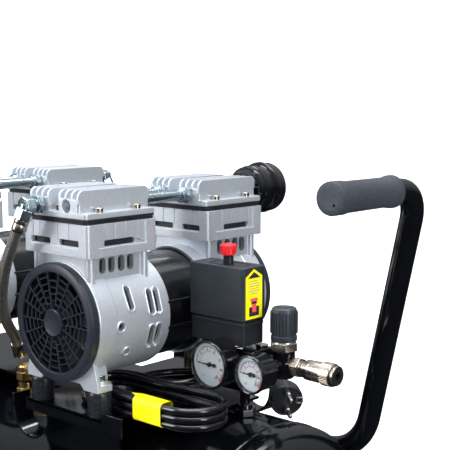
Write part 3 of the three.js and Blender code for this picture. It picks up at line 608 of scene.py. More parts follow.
def hank_points():
    """Four turns: outer and inner on top, inner and outer in the middle, outer below.

    way counts along one turn: back run 0 to 1, left fold 1 to 2, front run 2 to 3, right fold 3 to 4.
    """
    top, mid, low = HANK_LAYERS
    inner = HANK_OUTER - CORD_DIAMETER
    # where each change of place starts and ends, its new radius and its new height
    changes = [
        (4.2, 4.62, inner, top), (6.5, 7.0, inner, mid), (10.0, 10.5, HANK_OUTER, mid),
        (13.0, 14.0, HANK_OUTER, low),
    ]

    def at(way):
        radius, height = HANK_OUTER, top
        for start, end, new_radius, new_height in changes:
            share = eased((way - start) / (end - start))
            radius += (new_radius - radius) * share
            height += (new_height - height) * share
        stretch, share = int(way) % 4, way % 1
        x, y = HANK_CENTRE
        side = 1 if stretch in (0, 3) else -1
        if stretch in (0, 2):
            return (x + side * HANK_HALF_RUN * (1 - 2 * share), y + side * radius, height)
        angle = math.pi * (share + 0.5 if stretch == 1 else share - 0.5)
        fold_x = x - HANK_HALF_RUN if stretch == 1 else x + HANK_HALF_RUN
        return (fold_x + radius * math.cos(angle), y + radius * math.sin(angle), height)

    first, last = 0.8, 16.8
    ways = [way for stretch in range(17) for way in stretch_ways(stretch)]
    return [at(way) for way in ways if first < way < last]


def stretch_ways(start):
    steps = 8 if start % 2 else 5
    return [start + i / steps for i in range(steps)]


def mains_cord():
    points = [*LEAD, *hank_points(), *TAIL]
    curve = bpy.data.curves.new("mains_cord", "CURVE")
    curve.dimensions = "3D"
    curve.bevel_depth = CORD_DIAMETER / 2 * MM
    curve.bevel_resolution = 6
    curve.resolution_u = 6
    curve.use_fill_caps = True
    spline = curve.splines.new("BEZIER")
    spline.bezier_points.add(len(points) - 1)
    for knot, point in zip(spline.bezier_points, points):
        knot.co = Vector(point) * MM
        knot.handle_left_type = "AUTO"
        knot.handle_right_type = "AUTO"
    curve.materials.append(SHEATH)
    cord = bpy.data.objects.new("mains_cord", curve)
    cord.matrix_world = DRAWN_AT
    bpy.context.scene.collection.objects.link(cord)
    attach(cord, "chassis")
    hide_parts("cord_lead", "cord_hank", "cord_tail")
    return cord


PLUG_FACE = (155 * MM, 57 * MM, -2.5 * MM)
PLUG_AT = shift(*PLUG_FACE) @ Matrix.Rotation(-0.663, 4, "Z") @ Matrix.Rotation(0.2, 4, "Y")
PLUG_RADIUS = 18.5
PLUG_LENGTH = 70
PIN_HEIGHTS = (-9.5, 9.5)


def power_plug():
    """An earthed plug with two round pins, drawn with its face at the origin and looking to +X."""
    body = turned(
        "x",
        [
            (0, -1.5), (PLUG_RADIUS - 2.5, -1.5), (PLUG_RADIUS - 2, 0), (PLUG_RADIUS - 0.8, -0.2),
            (PLUG_RADIUS, -1.2), (PLUG_RADIUS, -13), (PLUG_RADIUS - 1.5, -18),
            (PLUG_RADIUS - 4.5, -26), (PLUG_RADIUS - 9, -35), (8, -40), (0, -40),
        ],
        sides=96,
    )
    notches = [
        box((-16, 1), (side * PLUG_RADIUS - 2.2, side * PLUG_RADIUS + 2.2), (-3, 3)) for side in (-1, 1)
    ]
    key = box((-15, 1), (-3, 3), (PLUG_RADIUS - 1.2, PLUG_RADIUS + 3))
    body = soft(cut(body, *notches, key), 0.6)
    ribs = []
    for i in range(7):
        radius = 7.4 - 0.25 * i
        profile = [(5, 0), (radius, 0.6), (radius, 2.6), (5, 3.2)]
        ribs.append(turned("x", profile, (-43.4 - 4.2 * i, 0, 0)))
    sleeve = shaded(merged(rod("x", (4.7, 6.4), 31, (-PLUG_LENGTH, 0, 0)), *ribs))
    pins = [
        soft(turned("x", [(0, -2), (2.4, -2), (2.4, 17), (1.6, 19), (0, 19)], (0, 0, z), 32), 0.2)
        for z in PIN_HEIGHTS
    ]
    collar = [(2.4, -2), (3.4, -2), (3.4, 5), (2.4, 5.4)]
    collars = [turned("x", collar, (0, 0, z), 32) for z in PIN_HEIGHTS]
    clip = soft(
        cut(
            block((-13, 0.4), (PLUG_RADIUS - 8.5, PLUG_RADIUS - 0.5), (-4, 4), 1, "x"),
            block((-5, 2), (PLUG_RADIUS - 7, PLUG_RADIUS - 2), (-2.6, 2.6), 0.8, "x"),
        ),
        0.3,
    )
    at = DRAWN_AT @ PLUG_AT
    return [
        place(body, "plug_body", PLASTIC, at=at, stands_for=["power_plug"]),
        place(sleeve, "plug_sleeve", SHEATH, at=at),
        place(merged(*pins), "plug_pins", NICKEL, at=at),
        place(shaded(merged(*collars)), "plug_pin_collars", STEEL, at=at),
        place(clip, "plug_earth_clip", STEEL, at=at),
    ]


def strain_relief():
    """A tapered sleeve round the cord below the switch's gland."""
    line = smooth_line(LEAD[:5], 8)[:22]
    sleeve = sweep(line, lambda share: 6.6 - 2.1 * share)
    return place(shaded(sleeve), "strain_relief", PLASTIC)


cord = mains_cord()
plug_pieces = power_plug()
relief = strain_relief()


# ---------------------------------------------------------------- one end of a pump, drawn at the front
SHAFT_AT = (0, 0, SHAFT_HEIGHT)
NECK_TOP = CASE_HIGH.z
FLANGE_TOP = HEAD_LOW.z + 11.4
FOOT_SOLE = 27.3
FOOT_XS = (-47, 47)


def on_barrel(angle, y, radius=BARREL, side=1):
    """A point on the barrel, angle in degrees up from level, on the +X or the -X side."""
    turn = math.radians(angle)
    return Vector((side * radius * math.cos(turn), y, SHAFT_HEIGHT + radius * math.sin(turn)))


def barrel_patch(outline, side):
    """A block through the barrel's wall, from an outline of (angle, y) points."""
    bm = bmesh.new()
    inner, outer = BARREL - 9, BARREL + 8
    return skin(bm, [[bm.verts.new(on_barrel(a, y, r, side)) for a, y in outline] for r in (inner, outer)])


def bead(outline, side, radius=1.1, sides=8):
    """A round rim along an outline of (angle, y) points on the barrel."""
    line = [on_barrel(a, y, BARREL - 0.3, side) for a, y in outline]
    bm = bmesh.new()
    rings = []
    for i, point in enumerate(line):
        way = (line[(i + 1) % len(line)] - line[i - 1]).normalized()
        up = Vector((point.x, 0, point.z - SHAFT_HEIGHT)).normalized()
        across = way.cross(up).normalized()
        angles = [2 * math.pi * k / sides for k in range(sides)]
        spokes = [across * math.cos(a) + up * math.sin(a) for a in angles]
        rings.append([bm.verts.new(point + radius * spoke) for spoke in spokes])
    return skin(bm, rings, closed=True)


DEGREES_PER_MM = 180 / math.pi / BARREL


def barrel_outline(opening, margin=0.0):
    """Outline of an opening as (angle, y) points, wider by margin."""
    y, top, bottom, width = opening
    half = width / 2 + margin
    spans = (bottom / DEGREES_PER_MM - margin, top / DEGREES_PER_MM + margin), (y - half, y + half)
    return [(s * DEGREES_PER_MM, along) for s, along in rounded_rectangle(*spans, half - 0.01, 8)]


# The barrel's slots and round holes: middle y, top and bottom angle, and width.
SLOT_WIDTH = 7.2
HOLE_WIDTH = 8.7
BARREL_OPENINGS = [
    (-86.5, 36, 12, SLOT_WIDTH), (-102.5, 2.6, -5.2, HOLE_WIDTH), (-89.2, -25.1, -32.9, HOLE_WIDTH),
    (-58.2, 29, 4, SLOT_WIDTH), (-48.6, 29, 4, SLOT_WIDTH), (-58.2, -6, -30, SLOT_WIDTH),
    (-48.6, -6, -30, SLOT_WIDTH),
]


def crankcase():
    front, seam, back = CASE_LOW.y, -107.5, CASE_HIGH.y
    wall = (-50, -46)
    inner = BARREL - 5
    barrel = turned(
        "y",
        [
            (0, front), (BARREL - 0.8, front), (BARREL, front + 0.8), (BARREL, seam - 0.4),
            (BARREL - 0.8, seam), (BARREL - 0.8, back), (0, back),
        ],
        SHAFT_AT,
        96,
    )
    neck = block((-43, 43), (BORE_Y - 40.5, BORE_Y + 40.5), (SHAFT_HEIGHT, NECK_TOP), 6)
    sole = FOOT_SOLE
    half = [(30, 33), (36, sole), (58, sole), (58, sole + 9), (48, 70)]
    web = prism("y", [*[(-x, z) for x, z in reversed(half)], *half], front, front + 5)
    pads = [block((x - 11, x + 11), (front, front + 22), (sole, 34), 4) for x in FOOT_XS]
    gusset = [(44, 28), (50, 28), (50, 40), (44, 70)]
    gussets = [prism("y", [(side * x, z) for x, z in gusset], front + 2, front + 21) for side in (-1, 1)]
    bosses = [rod("z", (9.5, 9), 10.7, (x, front + 11.5, sole)) for x in FOOT_XS]
    posts = [rod("z", 5, NECK_TOP - 130, (x, y, 130)) for x in (-42, 42) for y in (-125, -51)]
    body = soft(join(barrel, neck, web, *pads, *gussets, *bosses, *posts), 0.6)
    vents = [
        prism("x", rounded_rectangle((y - 4.7, y + 4.7), (147.5, 164.5), 4.6), -60, 60)
        for y in (-109.1, -96.8, -83.4, -70.6)
    ]
    openings = [barrel_patch(barrel_outline(o), side) for side in (-1, 1) for o in BARREL_OPENINGS]
    hollow = cut(
        body,
        rod("y", inner, wall[0] - front + 1, (0, front - 1, SHAFT_HEIGHT), 96),
        rod("y", inner, back - wall[1] + 1, (0, wall[1], SHAFT_HEIGHT), 96),
        box((-37, 37), (BORE_Y - 34.5, BORE_Y + 34.5), (SHAFT_HEIGHT, NECK_TOP - 5)),
        rod("z", 33, 7, (0, BORE_Y, NECK_TOP - 6), 64),
        *vents,
        *openings,
    )
    bearing = rod("y", 18, 12, (0, -58, SHAFT_HEIGHT))
    whole = cut(join(hollow, bearing), rod("y", 7.5, 20, (0, -62, SHAFT_HEIGHT)))
    rims = [bead(barrel_outline(o, 1.0), side) for side in (-1, 1) for o in BARREL_OPENINGS]
    return merged(crisp(whole), shaded(merged(*rims)))


def foot_bolts():
    bolts = []
    for x in FOOT_XS:
        at = (x, CASE_LOW.y + 11.5, 38.2)
        bolts += [soft(hexagon("z", 6.6, 5.2, at, 10 * x), 0.5), rod("z", 8.2, 1.2, (*at[:2], 38))]
    return merged(*bolts)


def fan_cover():
    """The slate grille: a rim, a hub, spokes of two lengths and arcs between them."""
    ring = turned(
        "y",
        [(53, 1.2), (54, 0.2), (61, 0), (62.4, 0.8), (63, 2.6), (63, 6.5), (60, 6.5), (59, 3.4), (53, 3.4)],
        (0, COVER_FACE, SHAFT_HEIGHT),
        128,
    )
    hub_profile = [(0, 0.6), (11, 0.6), (13.6, 0), (14.5, 0.6), (14.5, 4), (0, 4)]
    hub = turned("y", hub_profile, (0, COVER_FACE - 1, SHAFT_HEIGHT))
    bars = []
    sectors = 18
    for i in range(sectors):
        turn = Matrix.Rotation(2 * math.pi * i / sectors, 4, "Y")
        start = 13 if i % 2 else 19
        bars.append(moved(box((start, 54), (0.6, 3), (-0.6, 0.6)), turn))
        for radius in (20, 27, 34, 41, 48) if i % 2 else (23.5, 30.5, 37.5, 44.5):
            outline = arc(0, 0, radius + 0.55, 0, 20, 4) + arc(0, 0, radius - 0.55, 20, 0, 4)
            bars.append(moved(prism("y", outline, 0.9, 2.8), turn))
    bars = [moved(bar, shift(0, COVER_FACE, SHAFT_HEIGHT)) for bar in bars]
    return merged(shaded(ring), shaded(hub), *bars)


def cover_skirt():
    """Black skirt behind the grille, the baffle behind the fan, and dark linings inside the barrel and the
    neck, which are painted shade behind the slots and vents.
    """
    profile = [(58.6, 6.5), (63.1, 6.6), (63.1, 9.5), (58.6, 9.5)]
    skirt = turned("y", profile, (0, COVER_FACE, SHAFT_HEIGHT), 128)
    baffle = [(57.6, 0), (58.8, 0), (58.8, 26), (20, 26), (20, 24.8), (57.6, 24.8)]
    shroud = turned("y", baffle, (0, -130.8, SHAFT_HEIGHT), 96)
    # painted shade: thin dark skins on the inner walls of the barrel and the neck
    bore = [(57.8, 0), (58.7, 0), (58.7, 53), (57.8, 53)]
    shade_lining = cut(
        turned("y", bore, (0, -103.5, SHAFT_HEIGHT), 96),
        box((-37, 37), (BORE_Y - 34.5, BORE_Y + 34.5), (SHAFT_HEIGHT, NECK_TOP)),
    )
    neck = cut(
        box((-36.7, 36.7), (BORE_Y - 34.2, BORE_Y + 34.2), (144, 160.7)),
        box((-36, 36), (BORE_Y - 33.5, BORE_Y + 33.5), (143, 161)),
    )
    return merged(shaded(skirt), shaded(shroud), shaded(shade_lining), neck)


def cylinder_jacket():
    """Cast jacket: corner posts, sunk panels with ribs and windows, open behind the windows."""
    low, high = JACKET_LOW, JACKET_HIGH
    x0, x1, y0, y1 = low.x, high.x, low.y, high.y
    body = block((x0, x1), (y0, y1), (low.z, high.z), 4)
    sink = 2
    panel_z = (low.z + 9.5, high.z + 1)
    panels = [
        box((x0 - 1, x0 + sink), (y0 + 15, y1 - 15), panel_z),
        box((x1 - sink, x1 + 1), (y0 + 15, y1 - 15), panel_z),
        box((x0 + 14, x1 - 14), (y0 - 1, y0 + sink), panel_z),
        box((x0 + 14, x1 - 14), (y1 - sink, y1 + 1), panel_z),
    ]
    window_z = (low.z + 10.5, low.z + 17)
    windows = [
        block((x0 - 1, x1 + 1), (BORE_Y - 24, BORE_Y + 18), window_z, 2, "x"),
        block((x0 + 12.2, -10), (y0 - 1, y1 + 1), window_z, 2, "y"),
        block((4.9, 38.1), (y0 - 1, y1 + 1), window_z, 2, "y"),
    ]
    shell = cut(
        body,
        *panels,
        rod("z", 32, high.z - low.z + 2, (0, BORE_Y, low.z - 1), 96),
        *windows,
        block((x0 + 6, x1 - 6), (y0 + 6, y1 - 6), (low.z + 8, low.z + 21), 3),
    )
    grooves = []
    groove_z = (window_z[1] - 2, high.z + 1)
    for y in (-112.8, -97.7, -82.9, -66.2):
        grooves += [box((x, x + 2.2), (y - 0.4, y + 0.4), groove_z) for x in (x0 + 1, x1 - 3.2)]
    for x in (-26.7, 2.6, 20.7, 39.3):
        grooves += [box((x - 0.4, x + 0.4), (y, y + 2.2), groove_z) for y in (y0 + 1, y1 - 3.2)]
    return soft(cut(shell, *grooves), 0.5)


def cylinder_liner():
    profile = [(32, 2), (36, 2), (36, 30), (32, 30)]
    return shaded(turned("z", profile, (0, BORE_Y, JACKET_LOW.z), 96))


def jacket_shadow():
    """Dark block that stands behind the windows: painted shade in the hollow of the jacket."""
    low, high = JACKET_LOW, JACKET_HIGH
    inset = 6.4
    xs, ys = (low.x + inset, high.x - inset), (low.y + inset, high.y - inset)
    shade_block = block(xs, ys, (low.z + 8.4, low.z + 20.6), 3)
    return cut(shade_block, rod("z", 38, 30, (0, BORE_Y, low.z), 64))


def valve_plate():
    low, high = HEAD_LOW, HEAD_HIGH
    plates = []
    for inset, bottom in ((1.2, 0), (0.4, 3)):
        xs, ys = (low.x + inset, high.x - inset), (low.y + inset, high.y - inset)
        plates.append(soft(block(xs, ys, (low.z + bottom, low.z + bottom + 2.4), 4), 0.3))
    return merged(*plates)


def cylinder_head():
    low, high = HEAD_LOW, HEAD_HIGH
    half, floor = 39.5, high.z - 9.5
    ends = (low.y, high.y)
    flange = block((low.x, high.x), ends, (low.z + 5.4, FLANGE_TOP), 4)
    body = block((-half, half), ends, (low.z + 5.6, floor), 3)
    fins = []
    for start in (8, 17.5, 27, 36.5):
        for side in (-1, 1):
            xs = sorted((side * start, side * (start + 3)))
            outline = rounded_rectangle(ends, (floor - 4, high.z), (0, 0, 7, 7))
            fins.append(prism("x", outline, *xs))
    spans = ((ends[0] - 1, ends[0] + 17), (ends[1] - 17, ends[1] + 1))
    pockets = [box((-8, 8), span, (FLANGE_TOP, high.z)) for span in spans]
    middle_groove = box((-8, 8), (ends[0] - 1, ends[1] + 1), (floor - 1.6, high.z))
    port_starts = [(x, y) for x in (-PORT_X, PORT_X) for y in (ends[0] - 1, ends[1] - 12)]
    ports = [rod("y", 6.8, 13, (x, y, PORT_HEIGHT), 32) for x, y in port_starts]
    whole = cut(join(flange, body, *fins), middle_groove, *pockets, *ports)
    return soft(whole, 0.7)


def socket_screw(at, radius=4.4, height=5):
    head = turned(
        "z",
        [
            (0, 0), (radius, 0), (radius, height - 0.6), (radius - 0.6, height), (2.4, height),
            (2.4, height - 2.4), (0, height - 2.4),
        ],
        at,
        32,
    )
    return shaded(head)


def head_screws():
    screws = [socket_screw((x, BORE_Y + y, FLANGE_TOP)) for x in (-44.6, 44.6) for y in (-26, 26)]
    screws += [socket_screw((0, y, FLANGE_TOP), 5, 7) for y in (HEAD_LOW.y + 9, HEAD_HIGH.y - 9)]
    return merged(*screws)


def pump_ends():
    for shape, label, material, slot, node in (
        (crankcase, "crankcase", CAST, "cast_aluminium", "crankcase"),
        (foot_bolts, "foot_bolts", ZINC, "zinc_plate", None),
        (fan_cover, "fan_grille", SLATE, "black_plastic", "fan_cover"),
        # the dark linings inside the barrel and the neck are painted shade
        (cover_skirt, "fan_skirt", PLASTIC, "black_plastic", None),
        (cylinder_jacket, "jacket", CAST, "cast_aluminium", "cylinder"),
        (cylinder_liner, "liner", MACHINED, "cast_aluminium", None),
        # the dark block behind the jacket's windows is painted shade
        (jacket_shadow, "jacket_shade_block", PLASTIC, "black_plastic", None),
        (valve_plate, "valve_plate", PLASTIC, "black_plastic", None),
        (cylinder_head, "head", CAST, "cast_aluminium", "head"),
        (head_screws, "head_screws", NICKEL, "nickel_plate", None),
    ):
        on_every_end(shape(), label, material, node)


pump_ends()


# ---------------------------------------------------------------- the rest of a pump
def stator():
    """Stacked laminations, painted over."""
    half = 45
    outer = BARREL - 5.6
    profile = [(29.2, -half), (outer, -half)]
    for i in range(30):
        y = -29.5 + 2 * i
        profile += [(outer, y), (outer - 0.15, y + 0.3), (outer - 0.15, y + 0.7), (outer, y + 1)]
    profile += [(outer, half), (29.2, half)]
    return shaded(turned("y", profile, SHAFT_AT, 96))


def stator_studs():
    """Long screws that clamp the two crankcases round the stator."""
    start, length = CASE_HIGH.y - 2, 2 * -CASE_HIGH.y + 4
    places = [(x, start, SHAFT_HEIGHT + z) for x in (62, -62) for z in (14, -14)]
    return merged(*[rod("y", 1.6, length, at, 16) for at in places])


def rotor_core():
    parts = [rod("y", 7, 256, (0, -128, 0)), rod("y", 28, 76, (0, -38, 0), 64)]
    for side in (-1, 1):
        eccentric_y = side * -BORE_Y
        parts.append(rod("y", 14.5, 14, (0, eccentric_y - 7, -side * 7), 48))
        first = 180 if side < 0 else 0
        weight = prism("y", arc(0, 0, 26, first, first + 180, 24), 0, 6)
        parts.append(moved(weight, shift(0, side * (-BORE_Y - 11) - 3, 0)))
    return shaded(merged(*parts))


def fan():
    """Hub and seven curved blades, drawn at the front end."""
    hub = turned("y", [(0, -9), (9, -9), (12, -6), (12, 9), (0, 9)])
    blades = []
    for i in range(7):
        bm = bmesh.new()
        rows = []
        for k in range(7):
            radius = 10 + 39 * k / 6
            lean = 0.75 - 0.3 * k / 6
            sweep_angle = 0.35 * k / 6
            row = []
            for along, thick in ((-1, 0.8), (1, 0.8), (1, -0.8), (-1, -0.8)):
                tangent = along * 8 * math.cos(lean) + thick * math.sin(lean)
                depth = along * 8 * math.sin(lean) - thick * math.cos(lean)
                angle = 2 * math.pi * i / 7 + sweep_angle + tangent / radius
                row.append(bm.verts.new((radius * math.cos(angle), depth, radius * math.sin(angle))))
            rows.append(row)
        blades.append(skin(bm, rows))
    return shaded(merged(hub, *blades), 40)


def transfer_tube(x):
    half = -HEAD_HIGH.y + 8
    tube = rod("y", 6.2, 2 * half, (x, -half, PORT_HEIGHT), 48)
    nuts = [hexagon("y", 10.4, 7, (x, y, PORT_HEIGHT)) for y in (HEAD_HIGH.y + 1.5, -HEAD_HIGH.y - 8.5)]
    collars = [rod("y", 8, 5, (x, y, PORT_HEIGHT)) for y in (HEAD_HIGH.y + 8, -HEAD_HIGH.y - 13)]
    fittings = [soft(nut, 0.5) for nut in nuts] + [soft(collar, 0.6) for collar in collars]
    return merged(shaded(tube), *fittings)


def intake_filter():
    """Filter housing with a stepped rim and a vented cap, on the rear head's right port."""
    face = -HEAD_LOW.y
    at = (PORT_X, face, PORT_HEIGHT)
    body = turned(
        "y",
        [
            (0, 3.5), (24, 3.5), (26.4, 5), (27, 8), (27, 29), (30.6, 30.4), (31.5, 31.4),
            (31.5, 34.6), (30.7, 35.4), (30.2, 37), (30.2, 46), (29.2, 48.6), (27, 50), (24, 50),
            (23, 47.5), (0, 47.5),
        ],
        at,
        96,
    )
    band = turned("y", [(26.6, 12), (28, 12.6), (28, 15.4), (26.6, 16)], at, 96)
    neck = rod("y", 6.2, 13, (PORT_X, face - 8, PORT_HEIGHT))
    slot = box((8, 20), (46.9, 48.6), (-1.1, 1.1))
    cap_slots = [moved(slot, spin(36 * i, "Y"), shift(*at)) for i in range(10)]
    return merged(shaded(cut(body, *cap_slots)), shaded(band), neck)


def rubber_mount():
    profile = [(0, 0.3), (11.6, 0.3), (12.2, 1.2), (12.5, 24), (12.1, 25.6), (11.2, 26.9), (0, 26.9)]
    return shaded(turned("z", profile, (0, 0, 0), 48), 40)


def pump_middles():
    stack, studs, core, blades = stator(), stator_studs(), rotor_core(), fan()
    tubes = {"left": transfer_tube(-PORT_X), "right": transfer_tube(PORT_X)}
    filter_shape, mount = intake_filter(), rubber_mount()
    for unit, pump in PUMP.items():
        node = f"stator_{unit}"
        place(stack, f"{node}_laminations", PAINT, at=pump, stands_for=[node])
        place(studs, f"{node}_studs", PAINT, at=pump)
        rotor = f"rotor_{unit}"
        turning = pump @ Matrix.Translation((0, 0, SHAFT_HEIGHT * MM))
        place(core, f"{rotor}_core", STEEL, rotor, turning, [rotor])
        for end, turn in END.items():
            fan_at = turning @ turn @ Matrix.Translation((0, -118 * MM, 0))
            place(blades, f"fan_{end}_{unit}", PLASTIC, rotor, fan_at)
        for side, tube in tubes.items():
            node = f"transfer_tube_{side}_{unit}"
            place(tube, f"{node}_fittings", ZINC, at=pump, stands_for=[node])
        node = f"intake_filter_{unit}"
        place(filter_shape, f"{node}_housing", GLOSS, at=pump, stands_for=[node])
        spots = [(x * MM, y * MM, 0) for y in (-119.5, 119.5) for x in FOOT_XS]
        for i, spot in enumerate(spots):
            name, nodes = f"rubber_mount_{i + 1}_{unit}", [f"rubber_mounts_{unit}"] if i == 0 else []
            spot = pump @ Matrix.Translation(spot)
            place(mount, name, MOUNT_RUBBER, at=spot, stands_for=nodes)


pump_middles()


# ---------------------------------------------------------------- tank, running gear and handle
for end in END:
    for unit in PUMP:
        frame["nodes"][f"piston_{end}_{unit}"].material_slots[0].material = CAST

TANK_LOW, TANK_HIGH = extent("tank")
TANK_AXIS = (TANK_LOW.z + TANK_HIGH.z) / 2
TANK_MIDDLE = (TANK_LOW.x + TANK_HIGH.x) / 2


TANK_RADIUS = 148
DISH_DEPTH = 57


def off_the_tank(mesh, gap):
    """The mesh cut back to a gap round the tank's shell."""
    radius = TANK_RADIUS + gap
    profile = [(0, -500), (radius, -500), (radius, 500), (0, 500)]
    return cut(mesh, turned("x", profile, (TANK_MIDDLE, 0, TANK_AXIS), 96))


def tank_shell():
    end = (TANK_HIGH.x - TANK_LOW.x) / 2 - DISH_DEPTH
    angles = [math.pi / 2 * i / 20 for i in range(21)]
    half = [(TANK_RADIUS * math.cos(a), end + DISH_DEPTH * math.sin(a)) for a in angles]
    bulge = TANK_RADIUS + 0.9
    seam = [(TANK_RADIUS, end - 14), (bulge, end - 12.5), (bulge, end - 9.5), (TANK_RADIUS, end - 8)]
    right = seam + half[:-1] + [(0, half[-1][1])]
    left = [(r, -along) for r, along in reversed(right)]
    return shaded(turned("x", left + right, (TANK_MIDDLE, 0, TANK_AXIS), 160), 30)


place(tank_shell(), "tank_shell", PAINT, stands_for=["tank"])


def saddle():
    """Bent platform plates with lips, legs on the tank and half-round gussets, and the spine between."""
    half, pitch = 130, 275
    shapes = []
    for x, turn in ((0, 0), (0, 180), (-pitch, 0), (-pitch, 180)):
        lip_outline = [(-65, 0), (-65, -13), (91, -13), (91, 8), (63, 8), (63, 0)]
        lip = prism("y", lip_outline, -half, -half + 3)
        outer, inner = arc(-60, -14, 33, 180, 360, 24), arc(-60, -14, 30, 360, 180, 24)
        ring = [(-93, -1.5), *outer, (-27, -1.5), (-30, -1.5), *inner, (-90, -1.5)]
        gusset = prism("y", ring, -half + 2, -104.5)
        leg = box((-60, 60), (-106, -103), (-62, -1))
        for shape in (soft(lip, 0.5), soft(gusset, 0.5), leg):
            shapes.append(moved(shape, spin(turn, "Z"), shift(x, 0, 0)))
    plates = [block((x - 65, x + 65), (-half, half), (-3, 0), 3) for x in (0, -pitch)]
    spine = [box((-340, 124.8), (-78, 45), (-3, -0.02)), box((-340, 95), (-24, 24), (-15, -2))]
    return merged(
        *[shaded(off_the_tank(shape, SADDLE_GAP), 40) for shape in shapes],
        *[soft(plate, 0.5) for plate in plates],
        *[off_the_tank(bar, SADDLE_GAP) for bar in spine],
    )


SADDLE_GAP = 0.4
AXLE_LOW, AXLE_HIGH = extent("axle")
WHEEL_LOW, WHEEL_HIGH = extent("wheel_left")


def tyre():
    """Solid rubber tyre with tread grooves, drawn round the wheel's middle."""
    profile = [
        (59, -10), (62, -21), (66, -22), (80, -18.5), (86, -14), (88, -8), (88, -2.4), (86.4, -1.6),
        (86.4, 1.6), (88, 2.4), (88, 8), (86, 14), (80, 18.5), (66, 22), (62, 21), (59, 10),
    ]
    body = turned("y", profile, sides=128)
    grooves = []
    for i in range(36):
        for side in (-1, 1):
            groove = box((84.5, 90), sorted((side * 6, side * 20)), (-1.1, 1.1))
            grooves.append(moved(groove, spin(10 * i + 5 * (side > 0), "Y")))
    return shaded(cut(body, *grooves), 34)


def wheel_hub():
    """Moulded hub with a dished web and eight ribs on each side."""
    profile = [
        (8.5, -22), (22, -22), (24, -20.5), (25, -7), (56, -7), (58, -17), (60.5, -17), (60.5, 17),
        (58, 17), (56, 7), (25, 7), (24, 20.5), (22, 22), (8.5, 22),
    ]
    body = turned("y", profile, sides=96)
    ribs = []
    for i in range(8):
        rib = box((22, 58.5), (-14, 14), (-1.4, 1.4))
        ribs.append(moved(rib, spin(45 * i, "Y")))
    return merged(shaded(body), *[soft(rib, 0.6) for rib in ribs])


def running_gear():
    tyre_shape, hub_shape = tyre(), wheel_hub()
    for side in ("left", "right"):
        body = f"wheel_{side}"
        at = Matrix.Translation(middle(body))
        place(tyre_shape, f"tyre_{side}", RUBBER, body, at, [body])
        place(hub_shape, f"hub_{side}", PLASTIC, body, at)
    x = (AXLE_LOW.x + AXLE_HIGH.x) / 2
    z = (WHEEL_LOW.z + WHEEL_HIGH.z) / 2
    length = AXLE_HIGH.y - AXLE_LOW.y
    rod_shape = rod("y", 8, length - 3, (x, AXLE_LOW.y + 1.5, z))
    cap = [(0, 0), (11, 0), (13.4, 1), (14, 2.4), (14, 4), (0, 4)]
    caps = [
        turned("y", cap, (x, AXLE_LOW.y, z)),
        turned("y", [(r, -along) for r, along in cap], (x, AXLE_HIGH.y, z)),
    ]
    place(shaded(merged(rod_shape, *caps)), "axle_rod", ZINC)
    cradle = off_the_tank(block((x - 16, x + 16), (-70, 70), (z - 12, z + 42), 4, "y"), 0.3)
    place(soft(cradle, 1), "axle_cradle", PAINT, stands_for=["axle"])


def front_foot():
    low, high = extent("front_foot")
    centre = (low.x + high.x) / 2
    column = off_the_tank(block((centre - 20, centre + 20), (-32, 32), (low.z, high.z), 6), 0.3)
    flange = block((low.x, high.x), (low.y, high.y), (low.z, low.z + 4), 6)
    foot = merged(soft(column, 1), soft(flange, 0.8))
    place(foot, "foot_column", PAINT, stands_for=["front_foot"])
    bolts = [hexagon("z", 6, 4, (centre, y, low.z + 4)) for y in (-70, 70)]
    place(merged(*[soft(bolt, 0.5) for bolt in bolts]), "foot_bolts", ZINC)
    low, high = extent("foot_pad")
    pad = block((low.x, high.x), (low.y, high.y), (low.z, high.z), 7)
    groove_ys, groove_zs = (low.y - 1, high.y + 1), (low.z - 1, low.z + 2)
    grooves = [box((low.x + x, low.x + x + 3), groove_ys, groove_zs) for x in (10, 23, 36)]
    pad = soft(cut(pad, *grooves), 1.2)
    place(pad, "foot_pad_moulding", RUBBER, stands_for=["foot_pad"])


place(saddle(), "saddle_plates", PAINT, stands_for=["saddle"])
running_gear()
front_foot()

GRIP_LOW, GRIP_HIGH = extent("handle_grip")
TUBE_LOW, TUBE_HIGH = extent("handle_tube")
TUBE_RADIUS = 12.5


def rounded_line(corners, radii, steps=16):
    """Straight runs between corners, each corner rounded to its radius."""
    corners = [Vector(corner) for corner in corners]
    line = [corners[0]]
    for before, corner, after, radius in zip(corners, corners[1:], corners[2:], radii):
        back = (before - corner).normalized()
        ahead = (after - corner).normalized()
        half = back.angle(ahead) / 2
        reach = radius / math.tan(half)
        centre = corner + (back + ahead).normalized() * radius / math.sin(half)
        start = corner + back * reach - centre
        end = corner + ahead * reach - centre
        whole = start.angle(end)
        for k in range(steps + 1):
            share = k / steps
            spoke = start * math.sin((1 - share) * whole) + end * math.sin(share * whole)
            line.append(centre + spoke / math.sin(whole))
    return [*line, corners[-1]]


def handle():
    grip_x = (GRIP_LOW.x + GRIP_HIGH.x) / 2
    grip_z = (GRIP_LOW.z + GRIP_HIGH.z) / 2
    y = TUBE_HIGH.y - TUBE_RADIUS
    low_z = TUBE_LOW.z + TUBE_RADIUS
    turn_x = grip_x - 0.213 * (grip_z - low_z)
    corners = [
        (TUBE_LOW.x, y, low_z), (turn_x, y, low_z), (grip_x, y, grip_z),
        (grip_x, GRIP_LOW.y + 8, grip_z),
    ]
    tube = sweep(rounded_line(corners, (60, 36)), TUBE_RADIUS, 64)
    place(shaded(tube), "handle_bent_tube", PAINT, stands_for=["handle_tube"])
    length = GRIP_HIGH.y - GRIP_LOW.y
    profile = [
        (0, 1.2), (9, 0.6), (14, 0.4), (16, 1.4), (16.6, 3.4), (16.6, 18), (15.6, 20.5),
        (15.4, length - 12), (16.6, length - 9), (17, length - 6), (17, length - 1.5), (16, length),
        (12.9, length), (12.9, 8), (0, 8),
    ]
    vent = rod("y", 1.6, 9, (grip_x + 5, GRIP_LOW.y - 1, grip_z - 6), 24)
    grip = cut(turned("y", profile, (grip_x, GRIP_LOW.y, grip_z), 96), vent)
    place(shaded(grip, 40), "handle_grip_sleeve", GRIP, stands_for=["handle_grip"])


handle()


